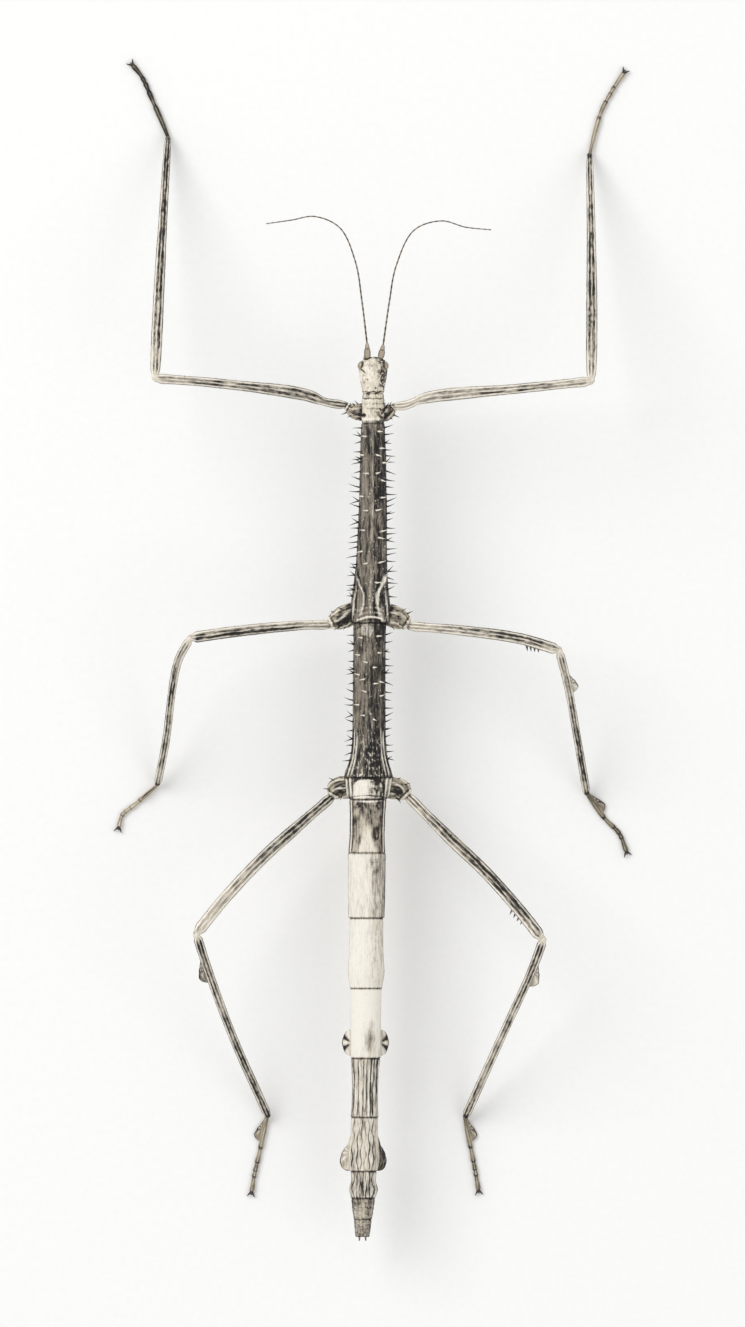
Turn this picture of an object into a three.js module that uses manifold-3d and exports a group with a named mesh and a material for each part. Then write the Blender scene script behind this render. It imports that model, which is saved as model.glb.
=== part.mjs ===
// Giant stick insect: an adult female Argosarchus horridus, life size, standing on six feet
// with the fore legs stretched ahead and the antennae curved outward.
//
// Millimetres. +Y points ahead of the head, +X to the insect's right, +Z up, and the feet
// stand at z = 0. The origin lies under the middle of the whole insect, legs included.
// A place on the body is given by s, the distance behind the front of the head.

import * as THREE from 'three';
import { mergeVertices } from 'three/addons/utils/BufferGeometryUtils.js';
import Module from 'manifold-3d';

const wasm = await Module();
wasm.setup();

// ---------------------------------------------------------------- driving dimensions

const BODY_LENGTH = 150;       // front of the head to the tip of the abdomen
const HEAD_FRONT_Y = 49.75;    // where the head starts, ahead of the origin
// The body isn't quite straight: pairs of s and how far its middle line is to the right.
const BODY_BENDS = [[0, -0.1], [25, -0.12], [47, -0.7], [69, -0.84], [84, -1.17], [119, -1.37],
  [BODY_LENGTH, -1.92]];
const FRONT_AXIS_Z = 15.6;     // height of the body's middle line at the head
const TAIL_DROP = 4.2;         // how much lower the middle line is at the tip
const TAIL_DROP_POWER = 1.3;   // the drop grows towards the tip

const GAP = 0.05;              // clearance between pieces that meet
const WELD = 1e-4;             // vertices closer than this are one vertex

const FLAGELLUM_RADIUS = 0.27;
const ANKLE_HEIGHT = 1.35;     // middle of the tibia's lower end
const FOOT_START_HEIGHT = 0.85;
const FOOT_HEIGHT = 0.36;      // middle line of the toes, which rest on flat soles

const UP = new THREE.Vector3(0, 0, 1);

// ---------------------------------------------------------------- solids

function solidOf(geometry) {
  const shell = geometry.clone();
  shell.deleteAttribute('normal');
  shell.deleteAttribute('uv');
  const welded = mergeVertices(shell, WELD);
  return new wasm.Manifold(new wasm.Mesh({
    numProp: 3,
    vertProperties: new Float32Array(welded.getAttribute('position').array),
    triVerts: new Uint32Array(welded.getIndex().array),
  }));
}

function geometryOf(solid) {
  const mesh = solid.getMesh();
  const geometry = new THREE.BufferGeometry();
  geometry.setAttribute('position', new THREE.BufferAttribute(mesh.vertProperties, 3));
  geometry.setIndex(new THREE.BufferAttribute(mesh.triVerts, 1));
  geometry.computeVertexNormals();
  return geometry;
}

const joined = (first, ...others) => others.reduce((whole, one) => whole.add(one), first);
const without = (first, ...cutters) => cutters.reduce((rest, one) => rest.subtract(one), first);

// A closed tube round a path. `rings` are its cross-sections from start to end, each with
// t (0 to 1 along the path), wide and high (half sizes) and, where it differs, deep (half
// size below the path). `square` above 2 turns the ellipse into a rounded square, `ridge`
// lifts four lengthwise keels at its corners, `sole` turns a flat side down instead of an
// edge, and nothing goes below `floor`.
function sweep(path, rings, options = {}) {
  const { sides = 8, square = 2, ridge = 0, sole = false, grow = 0, floor = -Infinity } = options;
  const turned = sole ? Math.PI / sides : 0;
  const tube = new THREE.CylinderGeometry(1, 1, 1, sides, rings.length - 1, false, turned);
  const places = tube.getAttribute('position');
  const place = new THREE.Vector3();
  for (let i = 0; i < places.count; i += 1) {
    place.fromBufferAttribute(places, i);
    const row = Math.round((0.5 - place.y) * (rings.length - 1));
    const { t, wide, high, deep = high } = rings[row];
    const angle = Math.atan2(place.x, place.z);
    const reach = Math.min(1, Math.hypot(place.x, place.z));
    const keel = reach * (1 - ridge * Math.cos(4 * angle));
    const across = Math.sign(Math.sin(angle)) * Math.abs(Math.sin(angle)) ** (2 / square);
    const upward = Math.sign(Math.cos(angle)) * Math.abs(Math.cos(angle)) ** (2 / square);
    const { middle, forward, side, up } = path(t);
    const overshoot = row === 0 ? -grow : row === rings.length - 1 ? grow : 0;
    const tall = upward > 0 ? high : deep;
    place.copy(middle)
      .addScaledVector(forward, overshoot)
      .addScaledVector(side, keel * across * (wide + grow))
      .addScaledVector(up, keel * upward * (tall + grow));
    places.setXYZ(i, place.x, place.y, Math.max(floor, place.z));
  }
  return solidOf(tube);
}

// A path for sweep() along a smooth curve through points, by arc length.
function curvePath(points) {
  const curve = new THREE.CatmullRomCurve3(points, false, 'centripetal');
  return (t) => {
    const forward = curve.getTangentAt(t);
    const side = new THREE.Vector3().crossVectors(UP, forward).normalize();
    const up = new THREE.Vector3().crossVectors(forward, side);
    return { middle: curve.getPointAt(t), forward, side, up };
  };
}

// A part of another path, from one fraction of its length to a later one.
const stretch = (path, from, to) => (t) => path(THREE.MathUtils.lerp(from, to, t));

// Round cross-sections: pairs of t and radius, with `tall` times the radius for height.
const roundRings = (pairs, tall = 1) =>
  pairs.map(([t, radius]) => ({ t, wide: radius, high: radius * tall }));

// A spine: a slim cone whose foot is sunk in the surface it stands on.
function spine(foot, direction, length, radius = 0.3) {
  const sunk = 0.35;
  const cone = new THREE.ConeGeometry(radius, length + sunk, 3);
  cone.translate(0, (length + sunk) / 2 - sunk, 0);
  const turn = new THREE.Quaternion().setFromUnitVectors(
    new THREE.Vector3(0, 1, 0), direction.clone().normalize());
  cone.applyQuaternion(turn);
  cone.translate(foot.x, foot.y, foot.z);
  return solidOf(cone);
}

// A flattened oval with half sizes along three directions, of which `along` and `out` are
// given. It is used for lobes and eyes.
function oval(middle, along, out, halves, rows = 6) {
  const ball = new THREE.SphereGeometry(1, rows + 2, rows);
  const forward = along.clone().normalize();
  const normal = new THREE.Vector3().crossVectors(forward, out).normalize();
  const outward = new THREE.Vector3().crossVectors(normal, forward);
  const frame = new THREE.Matrix4().makeBasis(
    outward.multiplyScalar(halves.out),
    forward.multiplyScalar(halves.along),
    normal.multiplyScalar(-halves.thick));
  if (frame.determinant() < 0) frame.multiply(new THREE.Matrix4().makeScale(1, 1, -1));
  ball.applyMatrix4(frame);
  ball.translate(middle.x, middle.y, middle.z);
  return solidOf(ball);
}

// The same few unevennesses each time: a number from -1 to 1 for a whole number.
const uneven = (k) => 2 * THREE.MathUtils.euclideanModulo(Math.sin(k * 12.9898) * 43.758, 1) - 1;

// ---------------------------------------------------------------- body axis and trunk

function axisPoint(s) {
  const k = Math.max(0, BODY_BENDS.findLastIndex(([start]) => start <= s));
  const [[from, fromX], [to, toX]] = BODY_BENDS.slice(Math.min(k, BODY_BENDS.length - 2));
  const x = THREE.MathUtils.lerp(fromX, toX, (s - from) / (to - from));
  const z = FRONT_AXIS_Z - TAIL_DROP * Math.max(0, s / BODY_LENGTH) ** TAIL_DROP_POWER;
  return new THREE.Vector3(x, HEAD_FRONT_Y - s, z);
}

// Cross-sections of the trunk stand upright across the body, so that segments meet flat.
const trunkPath = (from, to) => (t) => ({
  middle: axisPoint(THREE.MathUtils.lerp(from, to, t)),
  forward: new THREE.Vector3(0, -1, 0),
  side: new THREE.Vector3(1, 0, 0),
  up: UP,
});

// Trunk segments from front to back. `wide` and `high` are half sizes, evenly spaced from
// the segment's front to its back.
const SEGMENTS = {
  prothorax: { from: 6.2, to: 11.25, wide: [1.72, 1.9, 1.95, 1.98, 1.9],
    high: [1.5, 1.65, 1.7, 1.75, 1.7] },
  mesothorax: { from: 11.3, to: 45.3,
    wide: [1.9, 2.1, 2.2, 2.28, 2.36, 2.45, 2.55, 2.8, 3.3, 3.7],
    high: [1.75, 1.9, 2, 2.05, 2.1, 2.15, 2.2, 2.3, 2.4, 2.4] },
  metathorax: { from: 45.35, to: 71.7, wide: [2.75, 2.72, 2.74, 2.74, 2.76, 3, 4.2],
    high: [2.35, 2.4, 2.4, 2.4, 2.45, 2.5, 2.5] },
  abdomen_1: { from: 71.75, to: 75.4, wide: [4.3, 4.3, 3.95, 3.2],
    high: [2.5, 2.55, 2.6, 2.55] },
  abdomen_2: { from: 75.45, to: 84.5, wide: [3.14, 3, 2.97, 3.14],
    high: [2.55, 2.5, 2.5, 2.6] },
  abdomen_3: { from: 84.55, to: 95.6, wide: [3.2, 3.18, 3.15, 3.05],
    high: [2.65, 2.7, 2.7, 2.6] },
  abdomen_4: { from: 95.65, to: 107.6, wide: [2.84, 2.86, 2.92, 3.1, 2.75],
    high: [2.5, 2.55, 2.6, 2.7, 2.45] },
  abdomen_5: { from: 107.65, to: 119.5, wide: [2.69, 2.6, 2.58, 2.58, 2.55],
    high: [2.4, 2.35, 2.35, 2.4, 2.3] },
  abdomen_6: { from: 119.55, to: 129.6, wide: [2.47, 2.3, 2.2, 2.22, 2.35],
    high: [2.2, 2.05, 2, 2.05, 2.15] },
  abdomen_7: { from: 129.65, to: 138.8, wide: [2.3, 2.3, 2.5, 2.6, 2.35],
    high: [2.1, 2.05, 2.1, 2.15, 2.05] },
  abdomen_8: { from: 138.85, to: 143.4, wide: [2.2, 2.1, 2.45, 2.05],
    high: [1.95, 1.9, 2, 1.75] },
  abdomen_9: { from: 143.45, to: 147, wide: [2, 1.8, 1.53], high: [1.7, 1.55, 1.3] },
  abdomen_10: { from: 147.05, to: BODY_LENGTH, wide: [1.5, 1.36, 1.17],
    high: [1.25, 1.1, 0.85] },
};
const TRUNK_SIDES = 12;
const TRUNK_SQUARE = 2.25;     // a little boxier than an ellipse

function valueAt(values, t) {
  const place = THREE.MathUtils.clamp(t, 0, 1) * (values.length - 1);
  const first = Math.min(values.length - 2, Math.floor(place));
  return THREE.MathUtils.lerp(values[first], values[first + 1], place - first);
}

const trunkRings = ({ wide, high }) => wide.map((width, i) => {
  const t = i / (wide.length - 1);
  return { t, wide: width, high: valueAt(high, t) };
});

function trunkSolid(segment, grow = 0) {
  const options = { sides: TRUNK_SIDES, square: TRUNK_SQUARE, grow };
  return sweep(trunkPath(segment.from, segment.to), trunkRings(segment), options);
}

// A place on a segment's surface, `angle` from the top towards the right (+X), with the
// direction pointing straight out there.
function onTrunk(segment, s, angle) {
  const t = (s - segment.from) / (segment.to - segment.from);
  const wide = valueAt(segment.wide, t);
  const high = valueAt(segment.high, t);
  const across = Math.sign(Math.sin(angle)) * Math.abs(Math.sin(angle)) ** (2 / TRUNK_SQUARE);
  const upward = Math.sign(Math.cos(angle)) * Math.abs(Math.cos(angle)) ** (2 / TRUNK_SQUARE);
  const foot = axisPoint(s).add(new THREE.Vector3(wide * across, 0, high * upward));
  const out = new THREE.Vector3(Math.sin(angle) / wide, 0, Math.cos(angle) / high).normalize();
  return { foot, out };
}

// Spines of a thorax segment: a row down each flank and loose pairs on the back.
function thoraxSpines(segment, flank, back) {
  const spines = [];
  for (const side of [-1, 1]) {
    for (let k = 0; k < flank.count; k += 1) {
      const s = flank.from + flank.pitch * (k + 0.25 * uneven(k + 40 * side));
      const angle = side * THREE.MathUtils.degToRad(82 + 12 * uneven(3 * k + side));
      const { foot, out } = onTrunk(segment, s, angle);
      out.y += 0.3 * uneven(7 * k + side) - 0.08;
      spines.push(spine(foot, out, flank.length * (1 + 0.22 * uneven(5 * k + side))));
    }
    for (let k = 0; k < back.count; k += 1) {
      const s = back.from + back.pitch * (k + 0.3 * uneven(11 * k + side));
      const angle = side * THREE.MathUtils.degToRad(36 + 12 * uneven(13 * k + side));
      const { foot, out } = onTrunk(segment, s, angle);
      out.x += 0.5 * side;
      spines.push(spine(foot, out, back.length, 0.24));
    }
  }
  return spines;
}

// A pair of rounded side lobes on an abdomen segment: `at` and `reach` are where they are
// widest, and `long` is their length along the body.
function sideLobes({ at, reach, long, thick }) {
  return [-1, 1].map((side) => {
    const middle = axisPoint(at).add(new THREE.Vector3(side * (reach - long * 0.42), 0, -0.3));
    const out = new THREE.Vector3(side, 0, -0.12);
    return oval(middle, new THREE.Vector3(0, 1, 0), out,
      { out: long * 0.42, along: long / 2, thick: thick / 2 }, 6);
  });
}

const trunk = Object.fromEntries(
  Object.entries(SEGMENTS).map(([name, segment]) => [name, trunkSolid(segment)]));
const grownTrunk = Object.fromEntries(
  Object.entries(SEGMENTS).map(([name, segment]) => [name, trunkSolid(segment, GAP)]));

trunk.mesothorax = joined(trunk.mesothorax, ...thoraxSpines(SEGMENTS.mesothorax,
  { from: 12.4, pitch: 1.25, count: 24, length: 1.5 },
  { from: 14.2, pitch: 3.9, count: 7, length: 1.1 }));
trunk.metathorax = joined(trunk.metathorax, ...thoraxSpines(SEGMENTS.metathorax,
  { from: 48.2, pitch: 1.35, count: 16, length: 1.2 },
  { from: 48, pitch: 3.6, count: 6, length: 0.9 }));
trunk.abdomen_5 = joined(trunk.abdomen_5,
  ...sideLobes({ at: 116.7, reach: 4, long: 4.9, thick: 0.9 }));
trunk.abdomen_7 = joined(trunk.abdomen_7,
  ...sideLobes({ at: 136.2, reach: 3.96, long: 5, thick: 0.9 }));

// ---------------------------------------------------------------- head

const HEAD_LENGTH = 6.15;
const HEAD_RINGS = [
  { t: 0, wide: 0.95, high: 0.55, deep: 0.6 },
  { t: 0.05, wide: 1.5, high: 0.95, deep: 1.1 },
  { t: 0.13, wide: 1.98, high: 1.35, deep: 1.55 },
  { t: 0.26, wide: 2.25, high: 1.65, deep: 1.85 },
  { t: 0.42, wide: 2.33, high: 1.8, deep: 1.95 },
  { t: 0.58, wide: 2.25, high: 1.78, deep: 1.9 },
  { t: 0.75, wide: 2, high: 1.65, deep: 1.7 },
  { t: 0.9, wide: 1.8, high: 1.5, deep: 1.5 },
  { t: 1, wide: 1.62, high: 1.35, deep: 1.3 },
];
const headSolid = (grow = 0) =>
  sweep(trunkPath(0, HEAD_LENGTH), HEAD_RINGS, { sides: 12, square: 2.1, grow });
const head = headSolid();
const grownHead = headSolid(GAP);

const EYE = { s: 1.5, out: 1.95, up: 0.3, halves: { out: 0.78, along: 0.72, thick: 0.78 } };

function eyeSolid(side) {
  const middle = axisPoint(EYE.s).add(new THREE.Vector3(side * EYE.out, 0, EYE.up));
  const out = new THREE.Vector3(side, 0.15, 0.1);
  const ball = oval(middle, new THREE.Vector3(0, 1, 0), out, EYE.halves, 6);
  return without(ball, grownHead);
}

// Labrum and mandibles under the front of the head, with two pairs of palps.
const PALP_RADIUS = 0.26;

function palp(side, inner, length) {
  const start = axisPoint(1.8).add(new THREE.Vector3(side * inner, 0, -2.1));
  const points = [start,
    start.clone().add(new THREE.Vector3(side * 0.6, 0.25 * length, -0.4)),
    start.clone().add(new THREE.Vector3(side * 0.8, 0.62 * length, -0.6)),
    start.clone().add(new THREE.Vector3(side * 0.6, length, -0.9))];
  const rings = roundRings([[0, PALP_RADIUS], [0.4, 0.3], [0.9, 0.29], [1, 0.18]]);
  return sweep(curvePath(points), rings, { sides: 5 });
}

function mouthSolid() {
  const jaws = sweep(trunkPath(0.25, 3.4), [
    { t: 0, wide: 0.7, high: 0.2, deep: 1.9 },
    { t: 0.12, wide: 1.15, high: 0.4, deep: 2.35 },
    { t: 0.4, wide: 1.45, high: 0.4, deep: 2.75 },
    { t: 0.75, wide: 1.3, high: 0.4, deep: 2.6 },
    { t: 1, wide: 0.9, high: 0.3, deep: 2.1 },
  ], { sides: 8 });
  const palps = [-1, 1].flatMap((side) => [palp(side, 0.75, 2.2), palp(side, 0.35, 1.5)]);
  return without(joined(jaws, ...palps), grownHead);
}

// ---------------------------------------------------------------- antennae

// Each antenna: the scape's foot on the head, and the flagellum's way in plan with heights.
const ANTENNAE = {
  left: { foot: [-1.05, 49.35, 16.05], neck: [-1.13, 52, 16.75],
    way: [[-2.02, 59.3, 18.6], [-3.1, 65.8, 20], [-5.75, 71.6, 21], [-10, 73.55, 21.2],
      [-14, 72.95, 20.6], [-18.3, 72.35, 19.6]] },
  right: { foot: [1.15, 49.35, 16.05], neck: [1.6, 51.7, 16.75],
    way: [[2.65, 59, 18.6], [3.8, 65.1, 20], [6.84, 71.2, 21], [11.5, 72.8, 21.2],
      [15.6, 71.75, 20.7], [20, 71.3, 19.8]] },
};
const SCAPE_RINGS = roundRings([[0, 0.34], [0.2, 0.52], [0.45, 0.56], [0.7, 0.4], [0.82, 0.37],
  [1, 0.3]]);
const FLAGELLUM_LENGTHS = 3;   // nodes per flagellum
const FLAGELLUM_STEPS = 5;     // cross-sections per node, less one

function antenna({ foot, neck, way }) {
  const points = [foot, neck, ...way].map((place) => new THREE.Vector3(...place));
  const scape = without(
    sweep(curvePath(points.slice(0, 2)), SCAPE_RINGS, { sides: 8 }), grownHead);
  const flagellum = curvePath(points.slice(1));
  const total = new THREE.CatmullRomCurve3(points.slice(1), false, 'centripetal').getLength();
  const skip = GAP / total;
  const lengths = [];
  for (let k = 0; k < FLAGELLUM_LENGTHS; k += 1) {
    const part = stretch(flagellum, k / FLAGELLUM_LENGTHS + skip, (k + 1) / FLAGELLUM_LENGTHS);
    const last = k === FLAGELLUM_LENGTHS - 1;
    const rings = roundRings(Array.from({ length: FLAGELLUM_STEPS + 1 }, (_, i) =>
      [i / FLAGELLUM_STEPS, last && i === FLAGELLUM_STEPS ? 0.2 : FLAGELLUM_RADIUS]));
    lengths.push(sweep(part, rings, { sides: 6 }));
  }
  return { scape, lengths };
}

// ---------------------------------------------------------------- legs

// Plan positions, in order from the body outward. `coxa` goes from inside the thorax to the
// hip; `femur` from hip to knee; `tibia` from knee to ankle; `toes` from ankle to claws.
const LEGS = {
  fore_left: { side: -1, s: 9.3, kneeHeight: 23.5,
    coxa: [[-1.4, 40.2], [-3.4, 40.6], [-4.75, 41.4]],
    femur: [[-4.5, 41.5], [-8, 42], [-11.8, 43.3], [-26.8, 45.2], [-37.1, 46]],
    tibia: [[-37.2, 46.2], [-36.8, 56], [-36.3, 67], [-35.2, 87.2]],
    toes: [[-35.15, 87.3], [-38, 94.2], [-39.7, 97.9], [-41.3, 99.9]] },
  fore_right: { side: 1, s: 9.3, kneeHeight: 23.5,
    coxa: [[1.3, 40.1], [2.6, 40.5], [3.5, 41.2]],
    femur: [[3.2, 41.3], [5.4, 41.5], [8.9, 42.75], [24.9, 44.3], [36.9, 45.5]],
    tibia: [[37, 45.7], [37.15, 58], [37.1, 71.4], [36.9, 84.4]],
    toes: [[36.95, 84.6], [38.9, 91.9], [41.1, 96], [42.8, 98.6]] },
  mid_left: { side: -1, s: 43.8, kneeHeight: 21.5,
    coxa: [[-3.2, 6.3], [-5.6, 5.2], [-7.6, 4.2]],
    femur: [[-7.5, 4.1], [-11.7, 4.05], [-17, 3.65], [-24, 2.9], [-31, 1.9]],
    tibia: [[-31.3, 1.7], [-33.2, -1.8], [-34.1, -5.5], [-35.5, -15.9], [-36.95, -23]],
    toes: [[-36.95, -23.1], [-40.6, -26.4], [-43, -28.4], [-43.6, -30.5]] },
  mid_right: { side: 1, s: 43.8, kneeHeight: 21.5,
    coxa: [[2.3, 6], [4.4, 5.1], [6, 4.2]],
    femur: [[5.9, 3.9], [15.2, 3.1], [24.8, 1.75], [31.5, -0.2]],
    tibia: [[31.6, -0.5], [33, -6], [34.9, -16.2], [36.4, -24.6]],
    toes: [[36.5, -24.8], [39.5, -29], [42, -31.6], [43.2, -34.7]] },
  hind_left: { side: -1, s: 73.5, kneeHeight: 22.5,
    coxa: [[-3.7, -23.5], [-6.2, -23.9], [-7.1, -25.2]],
    femur: [[-7, -25.1], [-13.8, -31], [-18.9, -35.6], [-25.3, -42.4], [-30.2, -48.4]],
    tibia: [[-30.1, -48.7], [-28.3, -54.4], [-24, -66.2], [-18.1, -79.8]],
    toes: [[-18.2, -79.9], [-19.4, -85.4], [-20.4, -89.9], [-20.9, -92.9]] },
  hind_right: { side: 1, s: 73.5, kneeHeight: 22.5,
    coxa: [[2, -23.6], [4.5, -24], [5.8, -25.1]],
    femur: [[5.7, -25], [13.1, -32.4], [18.9, -37.9], [24.5, -44.1], [28.6, -49.3]],
    tibia: [[28.8, -49.5], [27, -54.5], [22.2, -65.3], [15.7, -79.9]],
    toes: [[15.6, -80], [16.7, -85.9], [17.4, -89.5], [17.9, -92.6]] },
};
const HIP_DROP = 0.75;         // the hip is this far below the body's middle line
const FEMUR_ARCH = 0.6;        // how far a femur bows upward
const TIBIA_ARCH = 0.5;

// Cross-sections as pairs of t and radius.
const COXA = {
  fore: [[0, 1.3], [0.35, 1.5], [0.7, 1.4], [0.92, 1.05], [1, 0.6]],
  mid: [[0, 1.8], [0.35, 1.95], [0.7, 1.65], [0.93, 1.2], [1, 0.8]],
  hind: [[0, 1.8], [0.35, 1.95], [0.7, 1.75], [0.93, 1.2], [1, 0.8]],
};
const FEMUR = {
  fore: [[0, 0.5], [0.05, 0.74], [0.12, 0.64], [0.19, 0.95], [0.3, 1.05], [0.58, 0.78],
    [0.9, 0.76], [0.965, 0.86], [1, 0.5]],
  mid: [[0, 0.6], [0.05, 0.8], [0.12, 0.72], [0.35, 0.83], [0.7, 0.9], [0.96, 0.9], [1, 0.5]],
  hind: [[0, 0.6], [0.04, 0.84], [0.1, 0.82], [0.35, 0.98], [0.7, 0.96], [0.96, 0.98], [1, 0.5]],
};
const TIBIA = {
  fore: [[0, 0.45], [0.03, 0.78], [0.15, 0.92], [0.35, 0.88], [0.65, 0.7], [0.96, 0.54], [1, 0.4]],
  mid: [[0, 0.4], [0.03, 0.68], [0.2, 0.66], [0.5, 0.6], [0.96, 0.54], [1, 0.4]],
  hind: [[0, 0.4], [0.025, 0.72], [0.2, 0.68], [0.5, 0.66], [0.96, 0.62], [1, 0.4]],
};
const LEG_RIDGE = 0.09;        // how far the four keels of femur and tibia stand out
const TALL = 1.1;              // femora and tibiae are a little deeper than wide

// Where the five toe joints end, as shares of the foot, and their radii.
const TOE_ENDS = [0.46, 0.64, 0.74, 0.81, 1];
const TOE_RADIUS = 0.47;
const TOE_WAIST = 0.36;        // radius at each joint
const CLAW_LENGTH = 1.25;
const CLAW_SPREAD = 34;        // degrees from the foot's line
const CLAW_RADIUS = 0.26;

// Points at given plan places, from one height to another by distance, bowed upward.
function limbPoints(plan, fromHeight, toHeight, arch = 0) {
  const flat = plan.map(([x, y]) => new THREE.Vector3(x, y, 0));
  const walked = flat.map((_, i) =>
    flat.slice(1, i + 1).reduce((sum, place, j) => sum + place.distanceTo(flat[j]), 0));
  const total = walked[walked.length - 1];
  return flat.map((place, i) => {
    const share = walked[i] / total;
    const height = THREE.MathUtils.lerp(fromHeight, toHeight, share);
    return place.setZ(height + arch * 4 * share * (1 - share));
  });
}

const pairOf = (name) => name.split('_')[0];

function coxaSolid(name, grow = 0) {
  const { side, s, coxa } = LEGS[name];
  const height = axisPoint(s).z - HIP_DROP;
  const path = curvePath(limbPoints(coxa, height, height));
  const barrel = sweep(path, roundRings(COXA[pairOf(name)]), { sides: 8, grow });
  if (grow > 0) return barrel;
  const spines = [];
  const count = 3;
  for (let k = 0; k < count; k += 1) {
    const t = 0.4 + 0.2 * k;
    const { middle, side: across, up } = path(t);
    const radius = valueAt(COXA[pairOf(name)].map(([, value]) => value), t);
    const turn = THREE.MathUtils.degToRad(35 + 100 * (k / (count - 1)));
    const out = across.multiplyScalar(-side * Math.cos(turn)).addScaledVector(up, Math.sin(turn));
    const lean = out.clone().add(new THREE.Vector3(0.8 * side, 0, 0));
    spines.push(spine(middle.addScaledVector(out, radius), lean, 0.9, 0.26));
  }
  const body = pairOf(name) === 'fore' ? [grownTrunk.prothorax, grownTrunk.mesothorax]
    : pairOf(name) === 'mid' ? [grownTrunk.mesothorax, grownTrunk.metathorax]
      : [grownTrunk.metathorax, grownTrunk.abdomen_1, grownTrunk.abdomen_2];
  return without(joined(barrel, ...spines), ...body);
}

function femurPath(name) {
  const { s, femur, kneeHeight } = LEGS[name];
  return curvePath(limbPoints(femur, axisPoint(s).z - HIP_DROP, kneeHeight, FEMUR_ARCH));
}

function tibiaPath(name) {
  const { tibia, kneeHeight } = LEGS[name];
  return curvePath(limbPoints(tibia, kneeHeight - 0.15, ANKLE_HEIGHT, TIBIA_ARCH));
}

const LIMB_OPTIONS = { sides: 8, square: 2.2, ridge: LEG_RIDGE };

function femurShaft(name, grow = 0) {
  return sweep(femurPath(name), roundRings(FEMUR[pairOf(name)], TALL), { ...LIMB_OPTIONS, grow });
}

// Thorns under the outer end of the mid and hind femora.
function femurSolid(name) {
  const path = femurPath(name);
  const count = pairOf(name) === 'fore' ? 0 : 3;
  const thorns = Array.from({ length: count }, (_, k) => {
    const { middle, side, up } = path(0.82 + 0.055 * k);
    const inward = side.multiplyScalar(LEGS[name].side).multiplyScalar(0.75);
    const out = inward.addScaledVector(up, -0.65).normalize();
    return spine(middle.addScaledVector(out, 0.75), out, 0.6, 0.24);
  });
  return without(joined(femurShaft(name), ...thorns), coxaSolid(name, GAP));
}

// The leaf-like lobe on the outer keel of a mid or hind tibia, just below the knee.
const TIBIA_LOBE = {
  mid: { t: 0.22, long: 3.6, reach: 1.5 },
  hind: { t: 0.19, long: 4, reach: 1.3 },
};
const LOBE_THICKNESS = 0.52;

// Lobes stand out sideways, but on the mid left leg they point up, edge on from above.
function lobeDirection(name, { side, up }) {
  return name === 'mid_left' ? up : side.multiplyScalar(LEGS[name].side);
}

function lobe(name, place, { long, reach }) {
  const out = lobeDirection(name, place);
  return oval(place.middle.addScaledVector(out, reach * 0.45), place.forward, out,
    { out: reach * 0.78, along: long / 2, thick: LOBE_THICKNESS / 2 }, 4);
}

function tibiaShaft(name, grow = 0) {
  return sweep(tibiaPath(name), roundRings(TIBIA[pairOf(name)], TALL), { ...LIMB_OPTIONS, grow });
}

function tibiaSolid(name) {
  const size = TIBIA_LOBE[pairOf(name)];
  const shaft = tibiaShaft(name);
  const whole = size ? joined(shaft, lobe(name, tibiaPath(name)(size.t), size)) : shaft;
  return without(whole, femurShaft(name, GAP));
}

function toePath(name) {
  const points = limbPoints(LEGS[name].toes, FOOT_HEIGHT, FOOT_HEIGHT);
  points[0].z = FOOT_START_HEIGHT;
  return curvePath(points);
}

function toeRings() {
  const rings = [{ t: 0, wide: 0.3, high: 0.3 }];
  let start = 0;
  TOE_ENDS.forEach((end, k) => {
    const long = end - start;
    const last = k === TOE_ENDS.length - 1;
    rings.push({ t: start + 0.14 * long, wide: TOE_WAIST, high: TOE_WAIST });
    rings.push({ t: start + (last ? 0.8 : 0.92) * long, wide: TOE_RADIUS, high: TOE_RADIUS });
    if (last) rings.push({ t: 1, wide: 0.32, high: 0.32 });
    start = end;
  });
  return rings;
}

const toeShaft = (name, grow = 0) =>
  sweep(toePath(name), toeRings(), { sides: 6, sole: true, grow, floor: -grow });

// The first toe joint of the mid and hind feet carries a small lobe near its end.
function tarsusSolid(name) {
  const hasLobe = pairOf(name) !== 'fore';
  const size = { long: 3, reach: 1.25 };
  const shaft = toeShaft(name);
  const place = toePath(name)(TOE_ENDS[0] * 0.72);
  place.middle.z += 0.1;
  const whole = hasLobe ? joined(shaft, lobe(name, place, size)) : shaft;
  return without(whole, tibiaShaft(name, GAP));
}

// A pair of hooked claws on one root at the end of the last toe joint.
function clawsSolid(name) {
  const { middle, forward, side } = toePath(name)(0.985);
  const hooks = [-1, 1].map((hand) => {
    const turn = THREE.MathUtils.degToRad(CLAW_SPREAD) * hand;
    const aim = forward.clone().multiplyScalar(Math.cos(turn))
      .addScaledVector(side, Math.sin(turn)).setZ(0).normalize();
    const at = (reach, height) => middle.clone().addScaledVector(aim, reach).setZ(height);
    const points = [at(-0.15, 0.45), at(0.45 * CLAW_LENGTH, 0.62), at(CLAW_LENGTH, 0.27)];
    const rings = roundRings([[0, CLAW_RADIUS], [0.5, CLAW_RADIUS], [0.88, CLAW_RADIUS], [1, 0.16]]);
    return sweep(curvePath(points), rings, { sides: 4, sole: true, floor: 0 });
  });
  return without(joined(...hooks), toeShaft(name, GAP));
}

// ---------------------------------------------------------------- tail

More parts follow.
